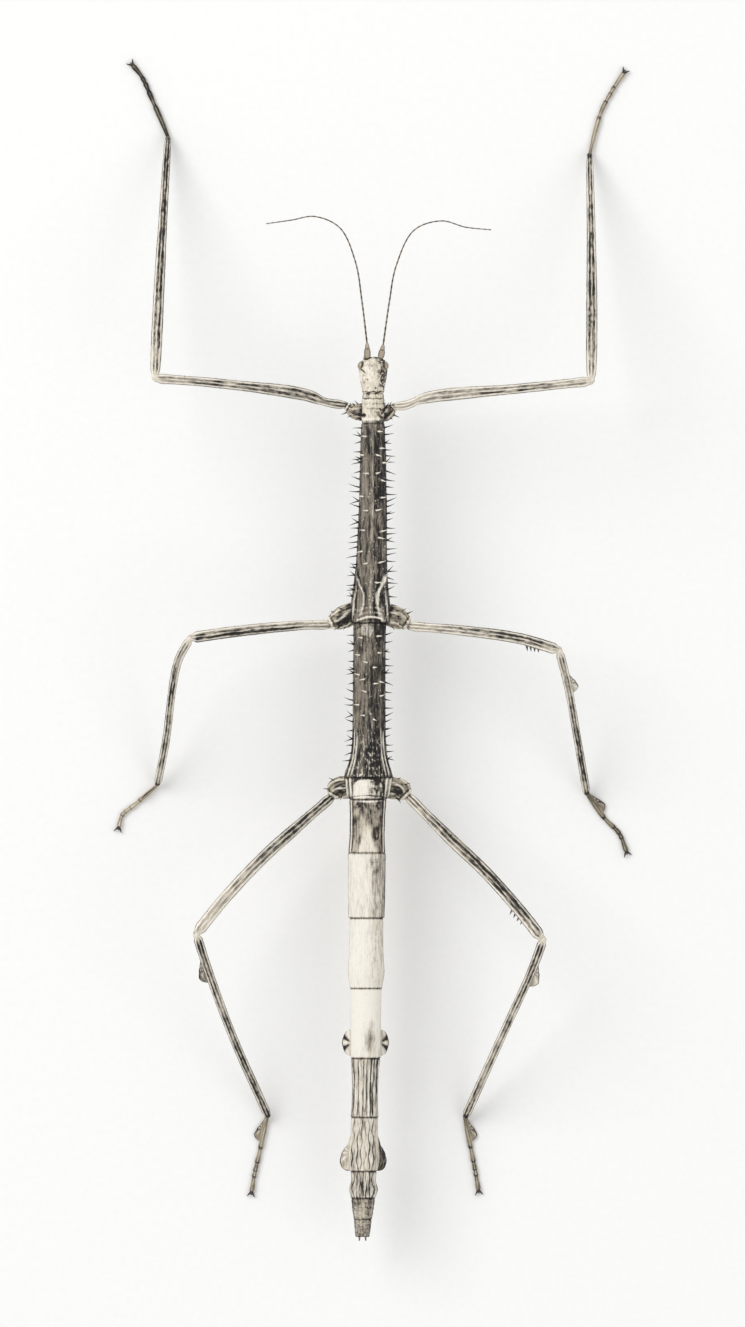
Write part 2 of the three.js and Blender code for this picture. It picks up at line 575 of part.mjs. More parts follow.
// The operculum: a keeled plate under the last three segments.
function operculumSolid() {
  const plate = sweep(trunkPath(139.6, 148.6), [
    { t: 0, wide: 0.9, high: -1, deep: 1.9 },
    { t: 0.15, wide: 1.5, high: -0.9, deep: 2.35 },
    { t: 0.5, wide: 1.45, high: -0.8, deep: 2.35 },
    { t: 0.85, wide: 0.95, high: -0.75, deep: 1.7 },
    { t: 1, wide: 0.4, high: -0.7, deep: 1.25 },
  ], { sides: 8 });
  return without(plate, grownTrunk.abdomen_7, grownTrunk.abdomen_8, grownTrunk.abdomen_9,
    grownTrunk.abdomen_10);
}

function cercusSolid(side) {
  const root = axisPoint(BODY_LENGTH - 0.1).add(new THREE.Vector3(side * 0.52, 0, 0.1));
  const tip = root.clone().add(new THREE.Vector3(side * 0.03, -0.8, -0.1));
  const rings = roundRings([[0, 0.28], [0.6, 0.28], [1, 0.16]]);
  return without(sweep(curvePath([root, tip]), rings, { sides: 6 }), grownTrunk.abdomen_10);
}

// ---------------------------------------------------------------- the model

const COLOURS = {
  head: 0xb5a183,
  eye: 0x2e241a,
  mouth: 0x7d6546,
  antenna: 0x5c4a35,
  thorax: 0x4a3c2c,
  pale: 0xc9b796,
  abdomen: 0x8d7757,
  leg: 0x9b8664,
  foot: 0x54432f,
};

const insect = new THREE.Group();

function add(name, solid, colour, roughness = 0.75) {
  const material = new THREE.MeshStandardMaterial({ color: colour, roughness, metalness: 0 });
  const mesh = new THREE.Mesh(geometryOf(solid), material);
  mesh.name = name;
  insect.add(mesh);
}

add('head', head, COLOURS.head);
add('mouthparts', mouthSolid(), COLOURS.mouth);
for (const [hand, side] of [['left', -1], ['right', 1]]) {
  add(`eye_${hand}`, eyeSolid(side), COLOURS.eye, 0.25);
  const { scape, lengths } = antenna(ANTENNAE[hand]);
  add(`scape_${hand}`, scape, COLOURS.antenna);
  lengths.forEach((solid, k) => add(`antenna_${hand}_${k + 1}`, solid, COLOURS.antenna));
}

const PALE_SEGMENTS = ['prothorax', 'abdomen_1', 'abdomen_3', 'abdomen_4', 'abdomen_5'];
for (const [name, solid] of Object.entries(trunk)) {
  const plain = name.startsWith('abdomen') ? COLOURS.abdomen : COLOURS.thorax;
  add(name, solid, PALE_SEGMENTS.includes(name) ? COLOURS.pale : plain);
}
add('operculum', operculumSolid(), COLOURS.abdomen);
add('cercus_left', cercusSolid(-1), COLOURS.abdomen);
add('cercus_right', cercusSolid(1), COLOURS.abdomen);

for (const name of Object.keys(LEGS)) {
  add(`coxa_${name}`, coxaSolid(name), COLOURS.thorax);
  add(`femur_${name}`, femurSolid(name), COLOURS.leg);
  add(`tibia_${name}`, tibiaSolid(name), COLOURS.leg);
  add(`tarsus_${name}`, tarsusSolid(name), COLOURS.foot);
  add(`claws_${name}`, clawsSolid(name), COLOURS.foot, 0.4);
}

export default insect;
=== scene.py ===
# %% [markdown]
# # A giant stick insect, life size
# The insect is an adult female of a large New Zealand species, shown standing with its fore
# legs stretched ahead. An insect's skin is also its skeleton: hard plates for the trunk, hard
# tubes for the limbs, and a seam wherever two of them meet. The lesson follows that. Every
# plate and every limb joint is one surface worked out with numpy, and each surface takes the
# place of the plain solid of the same name in the frame.

# %% The frame
import math
from collections import namedtuple
from itertools import product

import bpy
import numpy as np
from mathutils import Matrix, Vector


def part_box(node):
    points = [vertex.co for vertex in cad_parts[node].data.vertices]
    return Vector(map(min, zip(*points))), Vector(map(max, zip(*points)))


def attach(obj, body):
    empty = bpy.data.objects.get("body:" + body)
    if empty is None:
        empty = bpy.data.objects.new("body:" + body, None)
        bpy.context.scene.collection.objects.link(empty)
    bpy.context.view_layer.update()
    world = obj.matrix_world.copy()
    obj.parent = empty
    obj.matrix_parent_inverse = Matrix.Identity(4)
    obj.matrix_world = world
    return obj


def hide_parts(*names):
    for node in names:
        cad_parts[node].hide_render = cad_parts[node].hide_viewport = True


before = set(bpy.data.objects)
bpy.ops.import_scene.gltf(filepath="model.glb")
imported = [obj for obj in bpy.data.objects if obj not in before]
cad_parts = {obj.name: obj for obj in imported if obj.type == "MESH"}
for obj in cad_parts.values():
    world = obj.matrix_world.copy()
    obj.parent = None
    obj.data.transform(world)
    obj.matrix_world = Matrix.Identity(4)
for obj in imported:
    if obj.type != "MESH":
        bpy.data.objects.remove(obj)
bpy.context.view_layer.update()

MM = 0.001  # the lesson thinks in millimetres; meshes are in metres
print("nodes in the frame:", len(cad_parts))

# %% [markdown]
# ## Numbers that look accidental
# No two spines of an animal are alike, and its shell is never quite even. Random numbers
# would do, but a shape that changes at each run can't be checked. So unevenness comes from
# a formula: the same whole number always gives the same "accidental" one.

# %% Unevenness from formulas


def bounded(values):
    """Values kept between 0 and 1."""
    return np.clip(values, 0, 1)


def together(*parts):
    """Arrays, or plain numbers, side by side on a new last axis."""
    return np.stack(np.broadcast_arrays(*parts), -1)


def scatter(cells, seed):
    """A number from 0 to 1 for each cell, given by the whole numbers on the last axis: the
    digits far behind the point of the sine of their weighted sum."""
    weights = np.array([127.1, 311.7, 74.7])[:cells.shape[-1]]
    return np.modf(np.abs(np.sin(cells @ weights + 19.19 * seed)) * 43758.5453)[0]


def mottle(places, size, seed, octaves=2):
    """A soft cloud from 0 to 1: the numbers at the corners of cubes of this size, blended
    across each cube by 3u^2 - 2u^3, plus half as much at half the size, and so on."""
    total = 0.0
    for octave in range(octaves):
        spot = places / size * 2 ** octave
        cell = np.floor(spot)
        share = spot - cell
        share = share * share * (3 - 2 * share)
        for corner in product((0, 1), repeat=places.shape[-1]):
            weight = np.prod(np.where(corner, share, 1 - share), axis=-1)
            total = total + weight * scatter(cell + corner, seed + octave) / 2 ** octave
    return total / (2 - 2 ** (1 - octaves))


def grains(places, pitch, seed, share=1.0):
    """Domes on a plane, from 0 to 1 high: one to a square of this pitch, off its middle by up
    to a third, with a radius of 0.2 to 0.4 pitches. Only this share of them is there."""
    spot = places / pitch
    cell = np.floor(spot)
    height = np.zeros(spot.shape[:-1])
    for step in product((-1, 0, 1), repeat=2):
        near = cell + step
        shift = together(scatter(near, seed), scatter(near, seed + 1)) - 0.5
        away = np.linalg.norm(spot - near - 0.5 - 0.66 * shift, axis=-1)
        radius = 0.2 + 0.2 * scatter(near, seed + 2)
        there = scatter(near, seed + 3) < share
        height = np.maximum(height, there * bounded(1 - (away / radius) ** 2))
    return height


def uneven(numbers, seed=0):
    """A number from -1 to 1 for each whole number."""
    return 2 * scatter(np.asarray(numbers, float)[..., None], seed) - 1


def bell(values, middle, width):
    """1 at the middle, and 0.37 one width away from it."""
    return np.exp(-((values - middle) / width) ** 2)


def rise(values, start, end):
    """0 before start, 1 after end, and 3u^2 - 2u^3 between them."""
    u = bounded((values - start) / (end - start))
    return u * u * (3 - 2 * u)


def fall(values, start, end):
    """1 before start and 0 after end: the rest of a rise."""
    return 1 - rise(values, start, end)


def cubic(u, start, end, leave, arrive):
    """The cubic that goes from start to end as u goes from 0 to 1, with these slopes there."""
    return (start * (2 * u ** 3 - 3 * u ** 2 + 1) + end * (3 * u ** 2 - 2 * u ** 3)
            + leave * (u ** 3 - 2 * u ** 2 + u) + arrive * (u ** 3 - u ** 2))


def eased(pairs, at):
    """A smooth line through a few (place, value) pairs that never overshoots them: on each
    span a cubic, whose slope at a pair is the harmonic mean of the two neighbouring slopes,
    or 0 where the line turns back."""
    places, values = np.array(pairs, float).T
    climb = np.diff(values) / np.diff(places)
    before, after = climb[:-1], climb[1:]
    both = before * after > 0
    inner = np.where(both, 2 * before * after / np.where(both, before + after, 1), 0)
    slope = np.concatenate([climb[:1], inner, climb[-1:]])
    at = np.clip(at, places[0], places[-1])
    k = np.clip(np.searchsorted(places, at, side="right") - 1, 0, len(places) - 2)
    span = places[k + 1] - places[k]
    return cubic((at - places[k]) / span, values[k], values[k + 1], span * slope[k],
                 span * slope[k + 1])


def evenly(values, at):
    """The same line through values an equal distance apart, from place 0 to place 1."""
    return eased(list(zip(np.linspace(0, 1, len(values)), values)), at)


print("uneven numbers for 0 to 3:", uneven(np.arange(4)).round(2))

# %% [markdown]
# ## Courses: the line that a part follows
# A leg joint, a feeler or the trunk is a rounded section carried along a line. The line
# needs a place, a direction and a "side" and "up" at each station. A smooth curve through a
# few given points gives the place. The side is kept level, so that a leg's keels stay on
# top.

# %% Courses
Course = namedtuple("Course", "middle forward side up along")
UP = np.array([0.0, 0.0, 1.0])
HANDS = ((-1, "left"), (1, "right"))  # the sign of x on each side of the body
STEPS_PER_SPAN = 40


def unit(vectors):
    """Vectors of length 1: each divided by its length."""
    return vectors / np.linalg.norm(vectors, axis=-1, keepdims=True)


def smooth_line(points):
    """A curve through the points (Catmull-Rom, centripetal): a cubic on each span, whose
    slopes come from the neighbouring points, weighed by the roots of their distances."""
    points = np.asarray(points, float)
    spread = np.vstack([2 * points[0] - points[1], points, 2 * points[-1] - points[-2]])
    root = np.sqrt(np.linalg.norm(np.diff(spread, axis=0), axis=1))[:, None]
    before, span, after = root[:-2], root[1:-1], root[2:]
    start, end = spread[1:-2], spread[2:-1]
    leave = span * ((start - spread[:-3]) / before - (end - spread[:-3]) / (before + span)
                    + (end - start) / span)
    arrive = span * ((end - start) / span - (spread[3:] - start) / (span + after)
                     + (spread[3:] - end) / after)
    u = np.linspace(0, 1, STEPS_PER_SPAN, endpoint=False)[None, :, None]
    line = cubic(u, *(each[:, None] for each in (start, end, leave, arrive)))
    return np.vstack([line.reshape(-1, 3), points[-1]])


def walked(line):
    """How far each point of a line is from its start, along the line."""
    return np.concatenate([[0], np.cumsum(np.linalg.norm(np.diff(line, axis=0), axis=1))])


def course(points, stations):
    """The course of a curve through points, at stations from 0 to 1 of its length."""
    line = smooth_line(points)
    far = walked(line)
    at = np.asarray(stations) * far[-1]

    def at_stations(vectors):
        """At each station, a blend of the vectors of the two nearest points of the line."""
        return together(*(np.interp(at, far, part) for part in vectors.T))

    middle, forward = at_stations(line), unit(at_stations(np.gradient(line, far, axis=0)))
    side = unit(np.cross(UP, forward))
    return Course(middle, forward, side, np.cross(forward, side), at)


print("two steps of 1 mm are", course([(0, 0, 0), (1, 0, 0), (2, 0, 0)], [1]).along[0], "mm")

# %% [markdown]
# The trunk has a course too. It isn't quite straight and hangs a little lower towards the
# tail. Its sections stand upright, so that one plate's end meets the next one's start.

# %% The trunk's middle line
HEAD_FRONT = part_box("head")[1].y / MM  # y of the front of the head
BODY_LENGTH = HEAD_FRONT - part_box("abdomen_10")[0].y / MM
BEND_PLACES = [0, 25, 47, 69, 84, 119, 150]  # distance behind the head's front
BEND_OFFSETS = [-0.1, -0.12, -0.7, -0.84, -1.17, -1.37, -1.92]
FRONT_AXIS_Z, TAIL_DROP, TAIL_DROP_POWER = 15.6, 4.2, 1.3


def axis(s):
    """The middle of the trunk, s millimetres behind the front of the head."""
    s = np.asarray(s, float)
    drop = TAIL_DROP * np.clip(s / BODY_LENGTH, 0, None) ** TAIL_DROP_POWER
    return together(np.interp(s, BEND_PLACES, BEND_OFFSETS), HEAD_FRONT - s,
                    FRONT_AXIS_Z - drop)


def trunk_course(s):
    """Stations on the trunk, looking towards the tail: its side is +X and its up is +Z."""
    middle = axis(s)
    forward, side, up = (np.tile(each, (len(s), 1)) for each in ((0, -1, 0), (1, 0, 0), UP))
    return Course(middle, forward, side, up, s)


print("body length in mm:", round(BODY_LENGTH, 2))

# %% [markdown]
# ## Sections and patches
# A section is an ellipse, made a little boxier by a power. Carried along a course, it gives
# a grid of points: one row for each station, one column for each angle. A `Patch` is such a
# grid with what its finish will need: `lie`, the place on the part as if the part were
# straight, so that streaks follow a bent leg, and two masks, `dark` and `pale`, for its two
# pigments, which in places also carry painted shade and painted light. Many alike pieces,
# such as spines, are one stack of grids.

# %% Sections and patches
ROUND = 2.0  # the power that leaves a section a plain ellipse
Patch = namedtuple("Patch", "points lie dark pale")
Section = namedtuple("Section", "across upward out_across out_up")


def patch(points, lie, dark, pale):
    """Puts grids in a stack (copies, rows, columns, 3) and spreads the masks over it."""
    points = points.reshape((-1,) + points.shape[-3:])
    lie = np.broadcast_to(lie, points.shape)
    dark = np.broadcast_to(dark, points.shape[:-1])
    pale = np.broadcast_to(pale, points.shape[:-1])
    return Patch(points, lie, bounded(dark), bounded(pale))


def round_turns(columns):
    """Angles round a section, from the top towards its side, in radians."""
    return np.linspace(-math.pi, math.pi, columns, endpoint=False)[None, :]


def boxy(values, square):
    """A sine or cosine pushed outward: its size to the power 2 / square, its sign kept."""
    return np.sign(values) * np.abs(values) ** (2 / square)


def section(wide, high, deep, turn, square):
    """The outline (wide * sin, high * cos, or deep * cos below), made boxier, and the
    direction that stands straight out of it, from the slope of |x/w|^n + |z/h|^n = 1."""
    sine, cosine = np.sin(turn), np.cos(turn)
    tall = np.where(cosine > 0, high, deep)
    out_across = boxy(sine, square / (square - 1)) / wide
    out_up = boxy(cosine, square / (square - 1)) / tall
    size = np.hypot(out_across, out_up)
    return Section(wide * boxy(sine, square), tall * boxy(cosine, square),
                   out_across / size, out_up / size)


def carried(way, outline, lift=0.0):
    """The section's outline at each station, lifted off itself by `lift`, as points in
    space and as places on the straightened part."""
    across = outline.across + lift * outline.out_across
    upward = outline.upward + lift * outline.out_up
    points = (way.middle[:, None] + way.side[:, None] * across[..., None]
              + way.up[:, None] * upward[..., None])
    lie = together(across, upward, np.asarray(way.along)[:, None])
    return points, lie


print("half width 1 made boxier, at 45 degrees:",
      round(float(section(1, 1, 1, math.pi / 4, 3.0).across), 3))

# %% [markdown]
# ## From patches to a piece
# A grid has four sides. Its columns run round, so the last joins the first, and each end row
# is closed by a ring of triangles round one more point. So every patch is a closed skin. The
# map named OFBake unrolls each patch into a band of its own, as high as its share of the
# surface, so that a texture baked onto it has room everywhere.

# %% Closed meshes from grids
END_STRIP = 0.02  # share of a band that the closing triangles take
EDGE = 0.03  # share of a cell left empty at its sides


def woven(copies, rows, columns):
    """Corner numbers of the squares between rows and of the triangles that close the ends.
    A copy's points are its grid, row by row, and then its two end points."""
    row, column = np.arange(rows - 1)[:, None], np.arange(columns)[None, :]
    after = (column + 1) % columns
    squares = together(row * columns + column, (row + 1) * columns + column,
                       (row + 1) * columns + after, row * columns + after)
    column, after = column.ravel(), after.ravel()
    end, last_row = rows * columns, (rows - 1) * columns
    ends = np.stack([together(end, column, after),
                     together(end + 1, last_row + after, last_row + column)])
    shift = (np.arange(copies) * (rows * columns + 2))[:, None, None]
    return squares.reshape(-1, 4) + shift, ends.reshape(-1, 3) + shift


def unrolled(copies, rows, columns, low, high):
    """Places on the map for the same corners: copies side by side in the band from low to
    high, angle across and row up."""
    row, column = np.arange(rows - 1)[:, None], np.arange(columns)[None, :]
    around = together(column, column, column + 1, column + 1) / columns
    up = together(row, row + 1, row + 1, row) / (rows - 1)
    squares = together(around, END_STRIP + (1 - 2 * END_STRIP) * up).reshape(-1, 4, 2)
    column = column.ravel()
    start = together(together(column + 0.5, column, column + 1) / columns,
                     (0, END_STRIP, END_STRIP))
    end = together(together(column + 0.5, column + 1, column) / columns,
                   (1, 1 - END_STRIP, 1 - END_STRIP))
    cell = np.arange(copies)[:, None, None]

    def placed(places):
        """Places moved into their copy's cell of the band, clear of its sides."""
        across = (cell + EDGE + (1 - 2 * EDGE) * places[..., 0]) / copies
        upward = low + (high - low) * (EDGE + (1 - 2 * EDGE) * places[..., 1])
        return together(across, upward)

    return placed(squares), placed(np.concatenate([start, end]))


print("squares and end triangles of 3 rows of 4:",
      *(each.shape[1] for each in woven(1, 3, 4)))

# %% [markdown]
# The patches of a piece share one mesh and one map, and the piece takes its node's place.

# %% Meshes and pieces
LEAST_BAND = 0.04  # the least share of the map that a patch gets


def surface(grid):
    """About how much surface a patch has: the sum of its squares' sides multiplied."""
    along = np.linalg.norm(np.diff(grid, axis=1), axis=-1)
    around = np.linalg.norm(grid - np.roll(grid, 1, axis=2), axis=-1)[:, 1:, :]
    return float((along * around).sum())


def with_ends(values):
    """A patch's values with those of its two end points: the means of its end rows."""
    copies, rows, columns = values.shape[:3]
    rest = values.shape[3:]
    ends = np.stack([values[:, 0].mean(1), values[:, -1].mean(1)], 1)
    grid = values.reshape((copies, rows * columns) + rest)
    return np.concatenate([grid, ends], 1).reshape((-1,) + rest)


def make_mesh(name, patches):
    """One mesh of closed skins, each with its own band of the map OFBake."""
    shares = np.array([surface(each.points) for each in patches])
    bands = np.maximum(shares / shares.sum(), LEAST_BAND)
    tops = np.cumsum(bands / bands.sum())
    faces, places, points_before = [], [], 0
    for each, low, high in zip(patches, np.concatenate([[0], tops[:-1]]), tops):
        copies, rows, columns = each.points.shape[:3]
        for corners, spots in zip(woven(copies, rows, columns),
                                  unrolled(copies, rows, columns, low, high)):
            faces.append(corners.reshape(-1, corners.shape[-1]) + points_before)
            places.append(spots.reshape(-1, 2))
        points_before += copies * (rows * columns + 2)
    corners = np.concatenate([each.ravel() for each in faces]).astype(np.int32)
    sizes = np.concatenate([np.full(len(each), each.shape[1]) for each in faces])
    mesh = bpy.data.meshes.new(name)
    mesh.vertices.add(points_before)
    where = np.concatenate([with_ends(each.points) for each in patches]) * MM
    mesh.vertices.foreach_set("co", where.astype(np.float32).ravel())
    mesh.loops.add(len(corners))
    mesh.loops.foreach_set("vertex_index", corners)
    mesh.polygons.add(len(sizes))
    starts = np.concatenate([[0], np.cumsum(sizes)[:-1]]).astype(np.int32)
    mesh.polygons.foreach_set("loop_start", starts)
    mesh.update(calc_edges=True)
    for title, kind, field in (("lie", "FLOAT_VECTOR", "vector"), ("dark", "FLOAT", "value"),
                               ("pale", "FLOAT", "value")):
        values = np.concatenate([with_ends(getattr(each, title)) for each in patches])
        layer = mesh.attributes.new(title, kind, "POINT")
        layer.data.foreach_set(field, values.astype(np.float32).ravel())
    unrolling = mesh.uv_layers.new(name="OFBake", do_init=False)
    unrolling.uv.foreach_set("vector", np.concatenate(places).astype(np.float32).ravel())
    mesh.shade_smooth()
    return mesh


def make_piece(node, word, patches, slot, coat=None):
    """A piece of the insect, in place of the frame's node and named after it. Its material is
    that of its slot, unless it has a coat of its own."""
    mesh = make_mesh(f"{node}_{word}", patches)
    piece = bpy.data.objects.new(mesh.name, mesh)
    bpy.context.scene.collection.objects.link(piece)
    mesh.materials.append(COATS[coat or slot])
    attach(piece, "root")
    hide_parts(node)
    return piece


print("least band of the map:", LEAST_BAND)

# %% [markdown]
# ## The pattern of a dead-looking twig
# A stick insect's shell is dull, horny and streaked like dry bark: a ground colour, a darker
# pigment in the hollows and a paler one on worn crests, broken by lengthwise streaks, soft
# blotches and tiny specks. All materials of the shell share this pattern, so it is a node
# group. It reads `lie`, in millimetres, so its scales are counts per millimetre.

# %% Steps of a pattern
STREAK_STRETCH = (1.0, 1.0, 0.13)  # eight times as long as wide
BLOTCH_STRETCH = (1.0, 1.0, 0.45)
STREAKS_PER_MM, FINE_STREAKS_PER_MM, FINE_SHARE = 2.8, 8.5, 0.45
BLOTCHES_PER_MM, SPECKS_PER_MM, GRAIN_PER_MM = 0.75, 2.4, 9.0
SOFT, WORN = (0.08, 0.92), (0.18, 0.82)  # tones that come out as no pigment and as all
STREAK_RANGE, BLOTCH_RANGE = (0.38, 0.62), (0.36, 0.64)  # what the clouds really span
GRAIN_RANGE, GRAIN_TINT = (0.35, 0.65), (0.88, 0.88, 0.89, 1.0)
SPECK_RADII, SPECKLED_BLOTCHES = (0.1, 0.26), (0.42, 0.6)
WHITE = (1.0, 1.0, 1.0, 1.0)

PATTERN_INPUTS = {"Lie": "Vector", "Dark": "Float", "Pale": "Float", "Ground": "Color",
                  "Dark pigment": "Color", "Pale pigment": "Color", "Streaks": "Float",
                  "Blotches": "Float", "Specks": "Float"}
PATTERN_OUTPUTS = {"Color": "Color", "Height": "Float", "Roughness": "Float"}


def fed(tree, node, inputs):
    """Sets a node's inputs, each to another node's output or to a number, vector or colour."""
    for title, source in inputs.items():
        if isinstance(source, bpy.types.NodeSocket):
            tree.links.new(source, node.inputs[title])
        else:
            node.inputs[title].default_value = source


def added(tree, kind, inputs, **settings):
    """A new node with these settings and inputs; gives back its outputs."""
    node = tree.nodes.new("ShaderNode" + kind)
    for title, value in settings.items():
        setattr(node, title, value)
    fed(tree, node, inputs)
    return node.outputs


def sums(tree, operation, *terms, clamp=False):
    """One step of arithmetic on its terms, such as first * second + third."""
    return added(tree, "Math", dict(enumerate(terms)), operation=operation, use_clamp=clamp)[0]


def cloud(tree, vector, scale, detail=3.0, roughness=0.55):
    """Soft noise, about a half on average, with this many blobs to a unit."""
    return added(tree, "TexNoise", {"Vector": vector, "Scale": scale, "Detail": detail,
                                    "Roughness": roughness})["Fac"]


def to_cell(tree, vector, scale):
    """How far each place is from the middle of its cell."""
    return added(tree, "TexVoronoi", {"Vector": vector, "Scale": scale})["Distance"]


def ramped(tree, value, low, high, to_low=0.0, to_high=1.0):
    """A value spread from low..high to new limits, and kept within them."""
    return added(tree, "MapRange", {"Value": value, "From Min": low, "From Max": high,
                                    "To Min": to_low, "To Max": to_high})["Result"]


def blended(tree, share, first, second, way="MIX"):
    """A colour that is first * (1 - share) + second * share, or for MULTIPLY their product."""
    return added(tree, "Mix", {0: share, 6: first, 7: second}, data_type="RGBA",
                 blend_type=way)[2]


def stretched(tree, vector, scales):
    """Places multiplied by a scale for each direction: a small one draws the pattern long."""
    return added(tree, "VectorMath", {0: vector, 1: scales}, operation="MULTIPLY")[0]


print("streaks per mm:", STREAKS_PER_MM, "and", FINE_STREAKS_PER_MM)

# %% [markdown]
# Each helper above adds one node. The pattern itself then reads like a formula.

# %% The pattern as a node group


def cuticle_pattern():
    """The node group. Its tone is the dark mask plus streaks, blotches and specks, each times
    its strength. The tone blends ground into dark pigment, and the pale mask blends that
    into the pale one."""
    tree = bpy.data.node_groups.new("cuticle_pattern", "ShaderNodeTree")
    for way, sockets in (("INPUT", PATTERN_INPUTS), ("OUTPUT", PATTERN_OUTPUTS)):
        for title, kind in sockets.items():
            tree.interface.new_socket(name=title, in_out=way, socket_type="NodeSocket" + kind)
    given = tree.nodes.new("NodeGroupInput").outputs
    along = stretched(tree, given["Lie"], STREAK_STRETCH)
    streak = sums(tree, "MULTIPLY", cloud(tree, along, STREAKS_PER_MM), 1 - FINE_SHARE)
    streak = sums(tree, "MULTIPLY_ADD", cloud(tree, along, FINE_STREAKS_PER_MM), FINE_SHARE,
                  streak)
    blotch = cloud(tree, stretched(tree, given["Lie"], BLOTCH_STRETCH), BLOTCHES_PER_MM, 4.0,
                   0.62)
    grain = cloud(tree, given["Lie"], GRAIN_PER_MM, 2.0)
    speck = ramped(tree, to_cell(tree, given["Lie"], SPECKS_PER_MM), *SPECK_RADII, 1.0, 0.0)
    speck = sums(tree, "MULTIPLY", speck, ramped(tree, blotch, *SPECKLED_BLOTCHES))
    tone = sums(tree, "MULTIPLY_ADD", ramped(tree, streak, *STREAK_RANGE, -0.5, 0.5),
                given["Streaks"], given["Dark"])
    tone = sums(tree, "MULTIPLY_ADD", ramped(tree, blotch, *BLOTCH_RANGE, -0.5, 0.5),
                given["Blotches"], tone)
    tone = sums(tree, "MULTIPLY_ADD", speck, given["Specks"], tone)
    colour = blended(tree, ramped(tree, tone, *SOFT), given["Ground"], given["Dark pigment"])
    worn = sums(tree, "ADD", given["Pale"], ramped(tree, streak, *STREAK_RANGE, 0.22, -0.22))
    colour = blended(tree, ramped(tree, worn, *WORN), colour, given["Pale pigment"])
    tint = blended(tree, ramped(tree, grain, *GRAIN_RANGE), GRAIN_TINT, WHITE)
    colour = blended(tree, 1.0, colour, tint, "MULTIPLY")
    height = sums(tree, "MULTIPLY_ADD", streak, 0.7, sums(tree, "MULTIPLY", grain, 0.35))
    height = sums(tree, "SUBTRACT", height, sums(tree, "MULTIPLY", speck, 0.25))
    dull = sums(tree, "MULTIPLY_ADD", grain, 0.25, 0.42)
    fed(tree, tree.nodes.new("NodeGroupOutput"),
        {"Color": colour, "Height": height, "Roughness": dull})
    return tree


pattern = cuticle_pattern()
print("pattern inputs:", ", ".join(PATTERN_INPUTS))

# %% [markdown]
# ## The finishes
# A material is one use of the pattern, with its own colours and strengths. Where the pattern
# says how much of a pigment there is, the masks on the mesh say where: in the grooves, on
# the crests, at the seams. The dark mask also holds painted shade, on the right halves, at
# the margins and on the coxae, and the pale mask some painted light. Horn is a little
# glossy, so the roughness stays about a half, and a fine bump from the pattern keeps the
# gloss from looking like plastic.

# %% Materials
RELIEF, BUMP_STRENGTH = 0.035 * MM, 0.8  # the height of the finest relief


def colour_of(code):
    """A web colour, such as b5a183, as the linear red, green and blue that Blender takes."""
    shades = np.array([int(code[k:k + 2], 16) for k in (0, 2, 4)]) / 255
    linear = np.where(shades <= 0.04045, shades / 12.92, ((shades + 0.055) / 1.055) ** 2.4)
    return (*linear, 1.0)


def reading(tree, title, output="Fac"):
    """What the mesh stores under this title."""
    return added(tree, "Attribute", {}, attribute_name=title)[output]


def plain_coat(name):
    """A new material: its node tree and its shader."""
    coat = bpy.data.materials.new(name)
    coat.use_nodes = True
    return coat, coat.node_tree, coat.node_tree.nodes["Principled BSDF"]


def bumped(tree, height, shader, relief):
    """Tilts the shader's surface as if it stood out by height * relief."""
    bump = added(tree, "Bump", {"Strength": BUMP_STRENGTH, "Distance": relief,
                                "Height": height})
    fed(tree, shader, {"Normal": bump["Normal"]})


def cuticle(name, ground, dark, pale, streaks, blotches, specks, gloss=0.35):
    """A material: the pattern with its own colours and strengths."""
    coat, tree, shader = plain_coat(name)
    use = added(tree, "Group", {
        "Lie": reading(tree, "lie", "Vector"), "Dark": reading(tree, "dark"),
        "Pale": reading(tree, "pale"), "Ground": colour_of(ground),
        "Dark pigment": colour_of(dark), "Pale pigment": colour_of(pale),
        "Streaks": streaks, "Blotches": blotches, "Specks": specks}, node_tree=pattern)
    fed(tree, shader, {"Base Color": use["Color"], "Roughness": use["Roughness"],
                       "Specular IOR Level": gloss})
    bumped(tree, use["Height"], shader, RELIEF)
    return coat


# For each use: its name, its ground, dark and pale colours, and the strengths of the pattern.
COATS = {
    "head": cuticle("head_horn", "ddd3bf", "241c15", "f5efe2", 0.35, 0.35, 0.35),
    "pale_shell": cuticle("pale_horn", "d9d0be", "1f1812", "f0ebdf", 0.4, 0.3, 0.4),
    "thorax_shell": cuticle("umber_horn", "857b6d", "0c0907", "efe8d9", 1.0, 0.4, 0.1),
    "abdomen_shell": cuticle("grey_horn", "cbc1ae", "1c1510", "f3ede0", 0.6, 0.3, 0.3),
    "coxa": cuticle("hip_horn", "b3a893", "130f0b", "f0e9db", 0.6, 0.4, 0.3),
    "leg_shell": cuticle("limb_horn", "d8cebb", "1a140f", "f5efe3", 0.5, 0.3, 0.2),
    "foot": cuticle("foot_horn", "ada18b", "17110c", "e6decd", 0.5, 0.4, 0.2),
    "antenna": cuticle("feeler_horn", "8d806b", "1b140f", "cbc0aa", 0.4, 0.3, 0.0),
    "mouth": cuticle("jaw_horn", "ab9f8a", "231a13", "ddd3c0", 0.55, 0.6, 0.3, 0.4),
    "claw": cuticle("claw_horn", "4a3a2b", "120e0b", "8a765c", 0.2, 0.1, 0.0, 0.5),
}
print("finishes:", len(COATS) + 1, "with the eye's")

# %% [markdown]
# The eye is the one glossy thing on the insect. It is made of hundreds of lenses, each about
# a twentieth of a millimetre across, so they are drawn as a bump: cells a lens wide, high in
# the middle. Behind the lenses the eye is banded like the shell, darker at its rim.

# %% The eye's finish
LENSES_PER_METRE, LENS_HEIGHT = 1 / (0.045 * MM), 0.012 * MM
BAND_STRETCH = (0.35, 3.2, 1.4)  # bands run lengthwise over the eye


